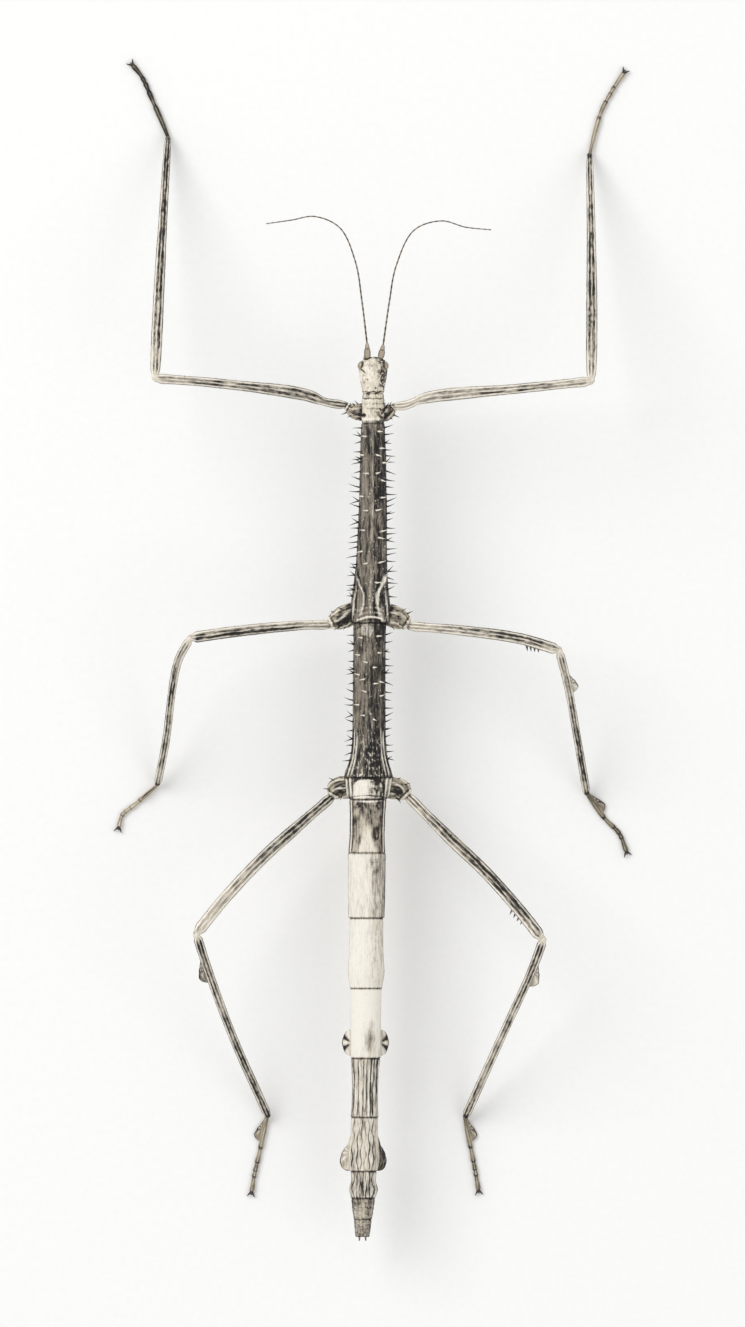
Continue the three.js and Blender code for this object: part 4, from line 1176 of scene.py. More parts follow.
def grained_relief(spot):
    """The last two rings: rows of small grains, like shagreen."""
    fine = grains(flat_places(spot) / (1.3, 1.0), 0.3, 46, 0.9)
    blots = stains(spot, 0.45, 48, 0.6) - 0.5
    lift = 0.02 * bark(spot, 0.35, WRINKLE_LENGTH, 45) + 0.05 * fine + 0.05 * blots
    # Painted shade: rise(spot.x, -0.2, 1.0) darkens the right half, and the margin strip the
    # sides.
    dark = (0.42 - 0.3 * fine + 0.8 * blots + 0.2 * bell(spot.s, 144.3, 0.9)
            + 0.12 * rise(spot.x, -0.2, 1.0) + 0.4 * margins_and_shade(spot, 0.86, 0.96))
    return lift, dark, 0.4 * (fine > 0.5) * bounded(0.3 - blots) * spot.top


sixth_relief = keeled((-0.86, -0.52, -0.15, 0.1, 0.42, 0.6, 0.86), 0.012, 51, 0.2)
seventh_relief = keeled((-0.8, -0.45, -0.2, 0.08, 0.35, 0.62), 0.05, 52, 0.06, 0.15)
eighth_relief = keeled((-0.78, -0.5, -0.28, -0.05, 0.2, 0.45, 0.72), 0.035, 53, 0.3)
print("reliefs of the abdomen: dome, mottled, pale, keeled and grained")

# %% [markdown]
# A flap's foot line runs along the side of its ring, and the flap stands out level from it.

# %% The rings and their flaps


def mirrored(outline):
    """A flap's outline for a root line that runs the other way."""
    return [(1 - share, far) for share, far in reversed(outline)]


def side_flaps(at, long, root, reaches, outline, rays, ink, darks):
    """A pair of flaps: `at` is the middle of the foot, `root` its distance from the body's
    middle, and `reaches` and `darks` are for the left and the right one."""
    pair = []
    for hand, reach, dark in zip((-1, 1), reaches, darks):
        s = at + hand * np.linspace(-long / 2, long / 2, 5)  # so that its upper face is up
        shape = outline if hand > 0 else mirrored(outline)
        feet = axis(s) + (hand * (root - 0.1), 0, -0.3)
        pair.append(flap(feet, (hand, 0, -0.08), reach, 0.5, shape, rays, ink, dark, 0.25))
    return pair


ABDOMEN = {
    "abdomen_1": ([4.3, 4.3, 3.95, 3.2], [2.5, 2.55, 2.6, 2.55], 72, 200, dome_relief),
    "abdomen_2": ([3.14, 3, 2.97, 3.14], [2.55, 2.5, 2.5, 2.6], 110, 160, mottled_relief),
    "abdomen_3": ([3.2, 3.18, 3.15, 3.05], [2.65, 2.7, 2.7, 2.6], 110, 160, pale_relief),
    "abdomen_4": ([2.84, 2.86, 2.92, 3.1, 2.75], [2.5, 2.55, 2.6, 2.7, 2.45], 100, 140,
                  pale_relief),
    "abdomen_5": ([2.69, 2.6, 2.58, 2.58, 2.55], [2.4, 2.35, 2.35, 2.4, 2.3], 100, 140,
                  pale_relief),
    "abdomen_6": ([2.47, 2.3, 2.2, 2.22, 2.35], [2.2, 2.05, 2, 2.05, 2.15], 110, 150,
                  sixth_relief),
    "abdomen_7": ([2.3, 2.3, 2.5, 2.65, 2.4], [2.1, 2.05, 2.1, 2.15, 2.05], 110, 150,
                  seventh_relief),
    "abdomen_8": ([2.2, 2.1, 2.45, 2.05], [1.95, 1.9, 2, 1.75], 70, 140, eighth_relief),
    "abdomen_9": ([2, 1.8, 1.53], [1.7, 1.55, 1.3], 64, 130, grained_relief),
    "abdomen_10": ([1.5, 1.36, 1.17], [1.25, 1.1, 0.85], 56, 110, grained_relief),
}
# The right flap of each pair is darker than the left one: painted shade.
FLAPS = {
    "abdomen_5": side_flaps(116.9, 4.7, 2.5, (1.6, 1.5), HALF_ROUND, 5, 1.1, (0.1, 0.25)),
    "abdomen_7": side_flaps(135.7, 6.2, 2.35, (1.8, 1.6), SKIRT, 9, 0.3, (0.05, 0.95)),
}
PALE_RINGS = ("abdomen_1", "abdomen_3", "abdomen_4", "abdomen_5")

for node, sizes in ABDOMEN.items():
    slot = "pale_shell" if node in PALE_RINGS else "abdomen_shell"
    make_piece(node, "plate", [plate(node, Ring(*sizes)), *FLAPS.get(node, [])], slot)
print("rings of the abdomen:", len(ABDOMEN))

# %% [markdown]
# ## The head
# The head is a smooth, pale capsule a little longer than wide, rounder on top than below. Its
# relief adds a rise or a dent for each landmark: a raised ring round each feeler's root, a
# socket round each eye, a dark furrow behind the eye, a fine seam along the crown, a few pits,
# and a scalloped edge over the neck.

# %% The head capsule
HEAD_RINGS = [(0, 0.95, 0.55, 0.6), (0.05, 1.5, 0.95, 1.1), (0.13, 1.95, 1.35, 1.55),
              (0.26, 2.25, 1.65, 1.85), (0.42, 2.38, 1.8, 1.95), (0.54, 2.33, 1.8, 1.93),
              (0.64, 2.22, 1.74, 1.85), (0.74, 2.1, 1.68, 1.74), (0.82, 1.98, 1.6, 1.63),
              (0.9, 1.89, 1.53, 1.53), (1, 1.82, 1.4, 1.35)]
HEAD_NOSE = [(0.0, 0.35), (0.01, 0.62), (0.04, 0.84), (0.09, 0.96)]  # (s, scale)
EYE_PLACE, EYE_OUT, EYE_UP = 1.52, 1.92, 0.3
FEELER_FEET = {-1: (-1.05, 49.35, 16.05), 1: (1.15, 49.35, 16.05)}
FEELER_NECKS = {-1: (-1.13, 52, 16.75), 1: (1.6, 51.7, 16.75)}
HEAD_PITS = [(-0.93, 3.9, 0.12), (-1.55, 3.45, 0.08), (0.25, 3.0, 0.07), (0.95, 2.75, 0.08),
             (-0.9, 5.2, 0.14), (0.42, 5.35, 0.17), (1.1, 4.7, 0.1)]
# The rims on the right are darker than on the left: painted shade.
LENS_TONE_AND_SHADE = {-1: 0.35, 1: 1.0}  # how dark the rims of the crown's lens-shaped plates are


def eye_middle(hand):
    """The middle of an eye: a little outward of the capsule's side and above its axis."""
    return axis(EYE_PLACE) + (hand * EYE_OUT, 0, EYE_UP)


def head_sockets(spot, base):
    """How far the shell stands out, and how dark it is, round the eyes, round the roots of
    the feelers and at the two lens-shaped plates of the crown, whose right one is darker as
    painted shade."""
    lift, dark = 0.0, 0.0
    near = fall(spot.s, 0.9, 1.3)
    for hand in (-1, 1):
        to_eye = np.linalg.norm(base - eye_middle(hand), axis=-1)
        foot, neck = np.array(FEELER_FEET[hand]), np.array(FEELER_NECKS[hand])
        to_feeler = np.linalg.norm(np.cross(base - foot, unit(neck - foot)), axis=-1)
        lens = np.hypot((hand * spot.x - 1.62) / 0.24, (spot.s - 3.85) / 0.6)
        lift += (0.1 * bell(to_eye, 0.98, 0.12) + near * (
            0.14 * bell(to_feeler, 0.64, 0.12) - 0.12 * bell(to_feeler, 0.4, 0.15))
            + 0.05 * fall(lens, 0.6, 1.1) - 0.05 * bell(lens, 1.15, 0.2))
        inside = (lens < 1) * rise(hand * spot.x, 1.5, 1.75)
        dark += (0.9 * bell(to_eye, 0.84, 0.1) + near * (
            bell(to_feeler, 0.46, 0.12) + 0.35 * bell(to_feeler, 0.8, 0.08))
            + LENS_TONE_AND_SHADE[hand] * spot.top * (1.1 * bell(lens, 1.15, 0.25) + 0.5 * inside))
    return lift, dark


def crown_blots_and_shade(spot, blots):
    """Blots on the crown: a blotched spot behind the feelers, and painted shade, also blotched,
    on the right half and its flank."""
    behind = 0.45 * bell(np.hypot(spot.x + 0.45, spot.s - 1.55), 0, 0.6)
    flank = rise(spot.x, 1.45, 2.0) * rise(spot.s, 2.2, 3.0)
    return spot.top * ((behind + 0.75 * rise(spot.x, 0.1, 1.5)) * blots
                       + (0.3 + 0.4 * blots) * flank)


def head_patch():
    """The capsule: a section of the head's own widths and heights, with the lift and the
    darkness of all its landmarks added up, painted shade on its right half and margins, and
    painted light on its left."""
    _, back = reach_of("head")
    body = np.linspace(0.14, back - EDGE_ROOM, 190)
    s, scale = edged(0, HEAD_NOSE, body, back, LIP)
    share = bounded(s / back)
    wide, high, deep = (eased([(ring[0], ring[k]) for ring in HEAD_RINGS], share)[:, None]
                        * scale[:, None] for k in (1, 2, 3))
    turn = round_turns(220)
    outline = section(wide, high, deep, turn, 2.1)
    way = trunk_course(s)
    spot = spot_on(s, share, turn, outline.across, wide, (wide + high) / 2)
    beside, top = np.abs(spot.x), spot.top
    lift, dark = head_sockets(spot, carried(way, outline)[0])
    furrow = bell(beside, 2.1 - 0.95 * (spot.s - 2.0), 0.16) * bell(spot.s, 2.38, 0.42) * top
    brow = fall(spot.s, 0.08, 0.5) * bell(spot.x, 0, 0.8) * top
    ridge = bell(spot.s, 0.55, 0.12) * bell(spot.x, 0, 0.5) * top
    seam = bell(spot.x, 0, 0.05) * rise(spot.s, 2.4, 3.2) * top
    arms = bell(beside, (2.55 - spot.s) * 0.9, 0.06) * bell(spot.s, 2.0, 0.45) * top
    scallop = spot.s - 5.98 + 0.07 * np.cos(spot.x * 4.2)
    hem = bell(scallop, 0, 0.09) * top
    pits = marks(spot, HEAD_PITS)
    knobs = grains(flat_places(spot), 0.42, 63, 0.4) * rise(spot.s, 1.2, 3.0) * top
    blots = rise(stains(spot, 0.5, 64), 0.36, 0.66)
    lift += (0.012 * bark(spot, 0.8, 1.6, 61) - 0.09 * furrow - 0.03 * seam - 0.02 * arms
             - 0.08 * hem - 0.06 * pits + 0.03 * knobs + 0.05 * ridge
             + 0.05 * bell(scallop, -0.2, 0.08))
    # The crown's blots carry painted shade on the right half and flank; the margin strip adds
    # more.
    dark += (1.35 * furrow + 0.25 * seam + 0.2 * arms + pits + 1.15 * brow
             + hem * (0.75 + 0.4 * bell(spot.x, 0.2, 0.9)) + crown_blots_and_shade(spot, blots)
             + 0.5 * margins_and_shade(spot, 0.93) + 0.3 * rise(np.abs(turn), 1.6, 2.3))
    lift *= np.minimum(rise(s, 0.02, 0.25), fall(s, back - 0.3, back))[:, None]
    points, lie = carried(way, outline, lift)
    # Painted light: the crown is paler on its left.
    left = fall(spot.x, -0.6, 0.9)
    pale = 0.45 * knobs + (0.2 + 0.45 * left) * (1 - blots) * top
    return patch(points, lie, dark, pale * (1 - bounded(1.2 * furrow + hem)))


make_piece("head", "capsule", [head_patch()], "pale_shell", "head")


def eye_patch(hand):
    """A ball a little longer than high. Its rings run outward, dark at the socket and at the
    rim of what shows, lighter towards the middle."""
    rows = 44
    share = np.sin(np.linspace(-math.pi / 2, math.pi / 2, rows + 2)[1:-1])[:, None]
    dark = 0.85 * fall(share, 0.2, 0.42) + 0.05
    return oval(eye_middle(hand), (0.8, 0.76, 0.74), (hand, 0.1, 0.12), rows, 64, dark=dark)


for hand, word in HANDS:
    make_piece(f"eye_{word}", "ball", [eye_patch(hand)], "eye")

# %% [markdown]
# ### Jointed tubes
# Palps, feelers and feet are chains of joints. Each chain is one surface: the place within
# each joint, from 0 to 1, drives its radius, so that each joint widens from a narrow neck.

# %% Jointed tubes and the mouth


def within_joints(t, ends):
    """For places from 0 to 1 on a chain whose joints end at `ends`: which joint each place
    is in, and how far along that joint it is."""
    ends = np.asarray(ends, float)
    starts = np.concatenate([[0], ends[:-1]])
    k = np.clip(np.searchsorted(ends, t, side="left"), 0, len(ends) - 1)
    return k, (t - starts[k]) / (ends[k] - starts[k])


def rounded(way, radius, least=0.02):
    """Radii along a course, with both ends rounded off over a radius: each is multiplied by
    the root of 1 - (1 - u)^2, where u is how many radii the nearer end is away."""
    end = bounded(np.minimum(way.along - way.along[0], way.along[-1] - way.along) / radius)
    return (radius * np.sqrt(np.clip(1 - (1 - end) ** 2, least, 1)))[:, None]


def tube(points, t, radius, columns, tall=1.0, dark=0.0, pale=0.0):
    """A round tube along a smooth curve through points, of these radii at stations t."""
    way = course(points, t)
    size = rounded(way, radius)
    outline = section(size, size * tall, size * tall, round_turns(columns), ROUND)
    points, lie = carried(way, outline)
    return patch(points, lie, dark, pale)


def palp(hand, inner, length, ends):
    """A feeding limb under the mouth: a chain of joints that end at these shares."""
    start = axis(1.8) + (hand * inner, 0, -2.1)
    steps = np.array([(0, 0, 0), (0.6 * hand, 0.25 * length, -0.4),
                      (0.8 * hand, 0.62 * length, -0.6), (0.6 * hand, length, -0.9)])
    t = np.linspace(0, 1, 72)
    _, u = within_joints(t, ends)
    radius = 0.12 + 0.055 * rise(u, 0.0, 0.6) - 0.03 * rise(u, 0.85, 1.0)
    return tube(start + steps, t, radius, 16, dark=(0.7 * bell(u, 0, 0.1) + 0.3)[:, None])


def jaw_shade(low, high):
    """Darker towards the cutting edge, which is at the lower end of an oval's turns."""
    return low + (high - low) * rise(-np.cos(round_turns(OVAL_COLUMNS)), 0.2, 0.9)


def mouth_patches():
    """Lips, cheeks, jaws and palps, from front to back and below."""
    notch = -0.28 * bell(np.abs(round_turns(OVAL_COLUMNS)), math.pi, 0.32)
    parts = [
        oval(axis(0.42) + (0, 0, -0.95), (0.85, 0.4, 0.3), (0, 1, 0.15), square=3.0,
             pale=0.35),
        oval(axis(0.48) + (0, 0, -1.62), (0.74, 0.62, 0.2), (0, 1, 0), square=2.8,
             lift=notch, dark=jaw_shade(0.05, 0.4)),
        oval(axis(2.3) + (0, 0, -1.55), (1.3, 1.0, 1.15), (0, 1, 0), square=2.4, dark=0.25),
    ]
    for hand in (-1, 1):
        parts += [
            oval(axis(1.05) + (0.72 * hand, 0, -1.65), (0.5, 0.78, 0.55), (0, 1, 0),
                 square=2.5, dark=jaw_shade(0.15, 0.95)),
            oval(axis(1.75) + (0.45 * hand, 0, -2.2), (0.42, 0.5, 0.75), (0, 1, 0.1),
                 dark=jaw_shade(0.1, 0.5)),
            palp(hand, 0.75, 2.2, (0.12, 0.26, 0.52, 0.74, 1)),
            palp(hand, 0.35, 1.5, (0.25, 0.58, 1)),
        ]
    return parts


mouth = make_piece("mouthparts", "all", mouth_patches(), "mouth")
print("mouth, faces:", len(mouth.data.polygons))

# %% [markdown]
# A feeler starts with a thick root that turns in its ring on the head. The rest is one chain
# in three lengths, along a curve that goes ahead, then outward and a little back.

# %% Feelers
FEELER_WAYS = {
    -1: [(-2.02, 59.3, 18.6), (-3.1, 65.8, 20), (-5.75, 71.6, 21), (-10, 73.55, 21.2),
         (-14, 72.95, 20.6), (-18.3, 72.35, 19.6)],
    1: [(2.65, 59, 18.6), (3.8, 65.1, 20), (6.84, 71.2, 21), (11.5, 72.8, 21.2),
        (15.6, 71.75, 20.7), (20, 71.3, 19.8)],
}
SCAPE_RADII = [(0, 0.36), (0.08, 0.42), (0.28, 0.55), (0.46, 0.54), (0.6, 0.45), (0.645, 0.38),
               (0.69, 0.4), (0.78, 0.35), (0.9, 0.26), (1, 0.19)]
FEELER_RADIUS, FEELER_TIP_RADIUS = 0.17, 0.1
LENGTHS, JOINTS_PER_LENGTH = 3, 11
LAP, LAP_SHARE = 0.16, 0.006  # where joints overlap: in millimetres, as a share of a feeler


def feeler_length(hand, k):
    """One of the three lengths of a feeler: joints about a millimetre long, each a little
    thicker at its far end, with a dark ring at every seam. A length reaches a little way
    into the next one."""
    lap = LAP_SHARE if k < LENGTHS - 1 else 0
    t = np.linspace(k / LENGTHS, (k + 1) / LENGTHS + lap, JOINTS_PER_LENGTH * 14)
    count = LENGTHS * JOINTS_PER_LENGTH
    _, u = within_joints(t, np.arange(1, count + 1) / count)
    radius = FEELER_RADIUS + (FEELER_TIP_RADIUS - FEELER_RADIUS) * t ** 0.8
    radius = radius * (0.86 + 0.16 * rise(u, 0.1, 0.85) - 0.14 * rise(u, 0.92, 1.0))
    return tube([FEELER_NECKS[hand], *FEELER_WAYS[hand]], t, radius, 14,
                dark=(0.45 + 0.5 * bell(u, 1, 0.2) + 0.4 * bell(u, 0, 0.1))[:, None],
                pale=(0.3 * bell(u, 0.45, 0.25))[:, None])


for hand, word in HANDS:
    t = np.linspace(0, 1, 90)
    sides = 0.85 * rise(np.abs(np.sin(round_turns(36))), 0.5, 0.95)
    seams = (0.8 * bell(t, 0.645, 0.02) + fall(t, 0.0, 0.16))[:, None]
    foot, neck = np.array(FEELER_FEET[hand]), np.array(FEELER_NECKS[hand])
    root = tube([foot, neck + LAP * unit(neck - foot)], t, eased(SCAPE_RADII, t), 36,
                dark=sides + seams, pale=0.55 * (1 - sides) * (1 - seams))
    make_piece(f"scape_{word}", "root", [root], "antenna")
    for k in range(LENGTHS):
        make_piece(f"antenna_{word}_{k + 1}", "joints", [feeler_length(hand, k)], "antenna")
print("joints on a feeler:", LENGTHS * JOINTS_PER_LENGTH)

# %% [markdown]
# ## The legs
# A leg has a barrel-shaped coxa at the trunk, a long femur up to the knee, a long tibia down
# to the floor, a foot of five joints and two claws. The six legs are made by one loop over
# their plans: the places seen from above, in order outward. Heights are added by rule: a hip
# just below the trunk's middle line, a knee well above the back, an ankle at the floor.

# %% Plans of the legs
Leg = namedtuple("Leg", "hand s knee coxa femur tibia toes")
LEGS = {
    "fore_left": Leg(
        -1, 9.3, 23.5, [(-1.4, 40.2), (-3.4, 40.6), (-4.75, 41.4)],
        [(-4.5, 41.5), (-8, 42), (-11.8, 43.3), (-26.8, 45.2), (-37.1, 46)],
        [(-37.2, 46.2), (-36.8, 56), (-36.3, 67), (-35.2, 87.2)],
        [(-35.15, 87.3), (-38, 94.2), (-39.7, 97.9), (-41.3, 99.9)]),
    "fore_right": Leg(
        1, 9.3, 23.5, [(1.3, 40.1), (2.6, 40.5), (3.5, 41.2)],
        [(3.2, 41.3), (5.4, 41.5), (8.9, 42.75), (24.9, 44.3), (36.9, 45.5)],
        [(37, 45.7), (37.15, 58), (37.1, 71.4), (36.9, 84.4)],
        [(36.95, 84.6), (38.9, 91.9), (41.1, 96), (42.8, 98.6)]),
    "mid_left": Leg(
        -1, 43.8, 21.5, [(-3.2, 6.3), (-5.6, 5.2), (-7.6, 4.2)],
        [(-7.5, 4.1), (-11.7, 4.05), (-17, 3.65), (-24, 2.9), (-31, 1.9)],
        [(-31.3, 1.7), (-33.2, -1.8), (-34.1, -5.5), (-35.5, -15.9), (-36.95, -23)],
        [(-36.95, -23.1), (-40.6, -26.4), (-43, -28.4), (-43.6, -30.5)]),
    "mid_right": Leg(
        1, 43.8, 21.5, [(2.3, 6), (4.4, 5.1), (6, 4.2)],
        [(5.9, 3.9), (15.2, 3.1), (24.8, 1.75), (31.5, -0.2)],
        [(31.6, -0.5), (33, -6), (34.9, -16.2), (36.4, -24.6)],
        [(36.5, -24.8), (39.5, -29), (42, -31.6), (43.2, -34.7)]),
    "hind_left": Leg(
        -1, 73.5, 22.5, [(-3.7, -23.5), (-6.2, -23.9), (-7.1, -25.2)],
        [(-7, -25.1), (-13.8, -31), (-18.9, -35.6), (-25.3, -42.4), (-30.2, -48.4)],
        [(-30.1, -48.7), (-28.3, -54.4), (-24, -66.2), (-18.1, -79.8)],
        [(-18.2, -79.9), (-19.4, -85.4), (-20.4, -89.9), (-20.9, -92.9)]),
    "hind_right": Leg(
        1, 73.5, 22.5, [(2, -23.6), (4.5, -24), (5.8, -25.1)],
        [(5.7, -25), (13.1, -32.4), (18.9, -37.9), (24.5, -44.1), (28.6, -49.3)],
        [(28.8, -49.5), (27, -54.5), (22.2, -65.3), (15.7, -79.9)],
        [(15.6, -80), (16.7, -85.9), (17.4, -89.5), (17.9, -92.6)]),
}
HIP_DROP, FEMUR_ARCH, TIBIA_ARCH = 0.75, 0.6, 0.5
KNEE_STEP, ANKLE_HEIGHT, FOOT_START, FOOT_HEIGHT = 0.15, 1.35, 0.85, 0.36
ANKLE_HOLD = 0.4  # how far the foot's root reaches into the tibia
KNEE_BALL, ANKLE_BALL = (0.6, 0.6, 0.66), (0.48, 0.48, 0.42)


def raised(plan, from_height, to_height, arch=0.0):
    """Points over a plan: heights go evenly with the distance walked, plus a bow of
    arch * 4u(1 - u)."""
    plan = np.array(plan, float)
    u = walked(plan) / walked(plan)[-1]
    height = from_height + (to_height - from_height) * u + arch * 4 * u * (1 - u)
    return np.column_stack([plan, height])


def limb_points(name):
    """The points of a leg's coxa, femur, tibia and foot. The foot starts inside the end of
    the tibia."""
    leg = LEGS[name]
    hip = axis(leg.s)[2] - HIP_DROP
    tibia = raised(leg.tibia, leg.knee - KNEE_STEP, ANKLE_HEIGHT, TIBIA_ARCH)
    toes = raised(leg.toes, FOOT_HEIGHT, FOOT_HEIGHT)
    toes[0, 2] = FOOT_START
    held = tibia[-1] + ANKLE_HOLD * unit(tibia[-2] - tibia[-1])
    return {"coxa": raised(leg.coxa, hip, hip),
            "femur": raised(leg.femur, hip, leg.knee, FEMUR_ARCH),
            "tibia": tibia,
            "toes": np.vstack([held, toes])}


print("legs:", ", ".join(LEGS))

# %% [markdown]
# A femur or tibia is a tube with keels. The four strong ones stand at the corners of its
# section, the weak ones in the middle of its faces, and between them the pigment gathers.

# %% Keeled limbs
CORNER, MID = math.radians(45), math.radians(90)
STRONG_KEEL, WEAK_KEEL = 0.2, 0.14  # half widths of keels, in radians
KEEL_LIFT, TALL, LIMB_SQUARE = 0.15, 1.1, 2.2
LIMB_ROWS, LIMB_COLUMNS = 330, 64
KEEL_FOOT = 1.06  # where spines stand on the strong keels, in radii
COXA = {"fore": [(0, 1.45), (0.3, 1.5), (0.6, 1.2), (0.85, 0.85), (1, 0.55)],
        "mid": [(0, 1.8), (0.35, 1.95), (0.7, 1.65), (0.93, 1.2), (1, 0.8)],
        "hind": [(0, 1.8), (0.35, 1.95), (0.7, 1.75), (0.93, 1.2), (1, 0.8)]}
FEMUR = {"fore": [(0, 0.5), (0.05, 0.78), (0.12, 0.7), (0.19, 1.0), (0.3, 1.09), (0.58, 0.85),
                  (0.9, 0.8), (0.965, 0.88), (1, 0.5)],
         "mid": [(0, 0.6), (0.05, 0.84), (0.12, 0.78), (0.35, 0.88), (0.7, 0.95), (0.96, 0.96),
                 (1, 0.5)],
         "hind": [(0, 0.6), (0.04, 0.88), (0.1, 0.86), (0.35, 1.03), (0.7, 1.02), (0.96, 1.04),
                  (1, 0.5)]}
TIBIA = {"fore": [(0, 0.45), (0.03, 0.82), (0.15, 0.96), (0.35, 0.93), (0.65, 0.75), (0.96, 0.6),
                  (1, 0.44)],
         "mid": [(0, 0.4), (0.03, 0.73), (0.2, 0.7), (0.5, 0.66), (0.97, 0.67), (1, 0.46)],
         "hind": [(0, 0.4), (0.025, 0.78), (0.2, 0.74), (0.5, 0.71), (0.97, 0.73), (1, 0.48)]}
# How dark a limb is between its keels, at even shares of its length, and how much of that
# lies on its front side (or, below 0, on its hind side).
Tone = namedtuple("Tone", "femur femur_lean tibia tibia_lean")
TONES = {"fore_left": Tone([0.6, 0.75, 0.6, 0.3], 0, [0.45, 0.8, 0.95, 1.0], 0.3),
         "fore_right": Tone([0.1, 0.45, 0.55, 0.2], 0, [0.35, 0.9, 0.8, 0.6], 0.2),
         "mid_left": Tone([0.3, 0.6, 1.0, 0.6], -0.7, [0.3, 0.75, 0.6, 0.5], 0.4),
         "mid_right": Tone([0.2, 0.5, 0.85, 0.35], 0.4, [0.5, 0.6, 0.95, 0.7], 0.2),
         "hind_left": Tone([0.85, 0.75, 0.35, 0.15], 0.3, [0.9, 0.75, 0.85, 0.8], 0),
         "hind_right": Tone([0.35, 0.85, 1.0, 0.45], 0.6, [0.95, 0.7, 0.45, 0.8], 0)}


def keels(turn):
    """A bell over the angle for each keel: about 1 on a strong crest and 0 in a groove."""
    beside = np.abs(turn)
    strong = sum(bell(beside, at, STRONG_KEEL) for at in (CORNER, math.pi - CORNER))
    return strong + 0.55 * sum(bell(beside, at, WEAK_KEEL) for at in (0, MID, math.pi))


def limb_spots(points, radii, t, columns):
    """The course of a limb, its radius at each station, and the spots round it."""
    way, turn = course(points, t), round_turns(columns)
    radius = eased(radii, t)[:, None]
    return way, radius, spot_on(way.along, t, turn, radius * np.sin(turn), radius, radius)


def limb(points, radii, tone, lean, seed, dark_end):
    """A keeled tube: the radius comes from `radii`, its keels stand out by a share of it.
    It is dark at its start (dark_end 0) or at its far end (1), and pale at the knee."""
    share = np.linspace(0, 1, LIMB_ROWS)
    t = share + 0.012 * np.sin(2 * math.pi * share) / (2 * math.pi)
    way, radius, spot = limb_spots(points, radii, t, LIMB_COLUMNS)
    turn, crest = spot.turn, keels(spot.turn)
    lines, knots = bark(spot, 0.3, 3.0, seed), bark(spot, 0.45, 0.6, seed + 1)
    teeth = 0.5 + 0.5 * np.sin(way.along[:, None] * 7.5 + 3 * lines)
    start, stop = rise(t, 0, 0.03)[:, None], fall(t, 0.97, 1)[:, None]
    full, joint = np.minimum(start, stop), 1 - (start, stop)[dark_end]
    lift = radius * (KEEL_LIFT * (crest * (0.82 + 0.18 * teeth) - 0.45)) * full
    lift = lift + 0.02 * lines + 0.012 * knots
    outline = section(radius, TALL * radius, TALL * radius, turn, LIMB_SQUARE)
    points, lie = carried(way, outline, lift)
    groove = bounded(1 - 1.3 * crest)
    depth = evenly(tone, t)[:, None] * (1 + lean * np.sin(turn))
    depth = depth * (start, stop)[1 - dark_end]
    dark = (groove * (0.18 + 0.6 * depth) + 0.3 * depth + 0.6 * joint
            + depth * (0.45 * np.clip(knots, -0.6, 1) + 0.35 * np.clip(-lines, -0.5, 1)))
    pale = (0.4 + 0.6 * crest) * (1 - 0.5 * depth) * (1 - 0.8 * groove) * (1 - joint)
    return patch(points, lie, dark, pale)


def beside_limb(points, t, turn, radius):
    """Places on a limb at shares t and angles turn, with the directions straight out."""
    t, turn, radius = (np.ravel(each) for each in np.broadcast_arrays(t, turn, radius))
    way = course(points, t)
    out = way.side * np.sin(turn)[:, None] + way.up * np.cos(turn)[:, None]
    return way.middle + out * radius[:, None], out, way


print("keels at 45 degrees:", round(float(keels(np.array(CORNER))), 2))

# %% [markdown]
# Each leg also carries what makes it this animal's. Its coxa is a wrinkled barrel with spines
# on its outer half, with painted shade on its top and where it goes under the trunk.

# %% Coxae
COXA_SPINES = 8
COXA_ROOT = 1.0  # how far a coxa's rounded root goes in under the trunk
# Between these shares of its length a coxa comes out of the painted shade under the trunk.
COXA_ROOT_SHADE = {"fore": (0.2, 0.42), "mid": (0.05, 0.3), "hind": (0.05, 0.3)}
# How black the painted shade in the hollow on top of each coxa is.
COXA_TOP_SHADE = {"fore_left": 0.35, "fore_right": 0.6, "mid_left": 1.3, "mid_right": 0.35,
              "hind_left": 0.95, "hind_right": 1.1}


def pair_of(name):
    """The first word of a leg's name: fore, mid or hind."""
    return name.split("_")[0]


def coxa_spines(points, radii, hand, seed):
    """Spines on the outer half, turned by a sine now to one side and now to the other."""
    k = np.arange(COXA_SPINES)
    share = 0.3 + 0.07 * k
    turn = -hand * np.radians(62 * np.sin(1.9 * k + seed))
    feet, out, way = beside_limb(points, share, turn, 0.97 * eased(radii, share))
    aims = out + (0.75 * hand, 0, 0) + 0.25 * way.forward
    return spines(feet, aims, 0.95 + 0.35 * uneven(k, seed), 0.13,
                  dark=lambda u: 0.75 + 0.25 * u)


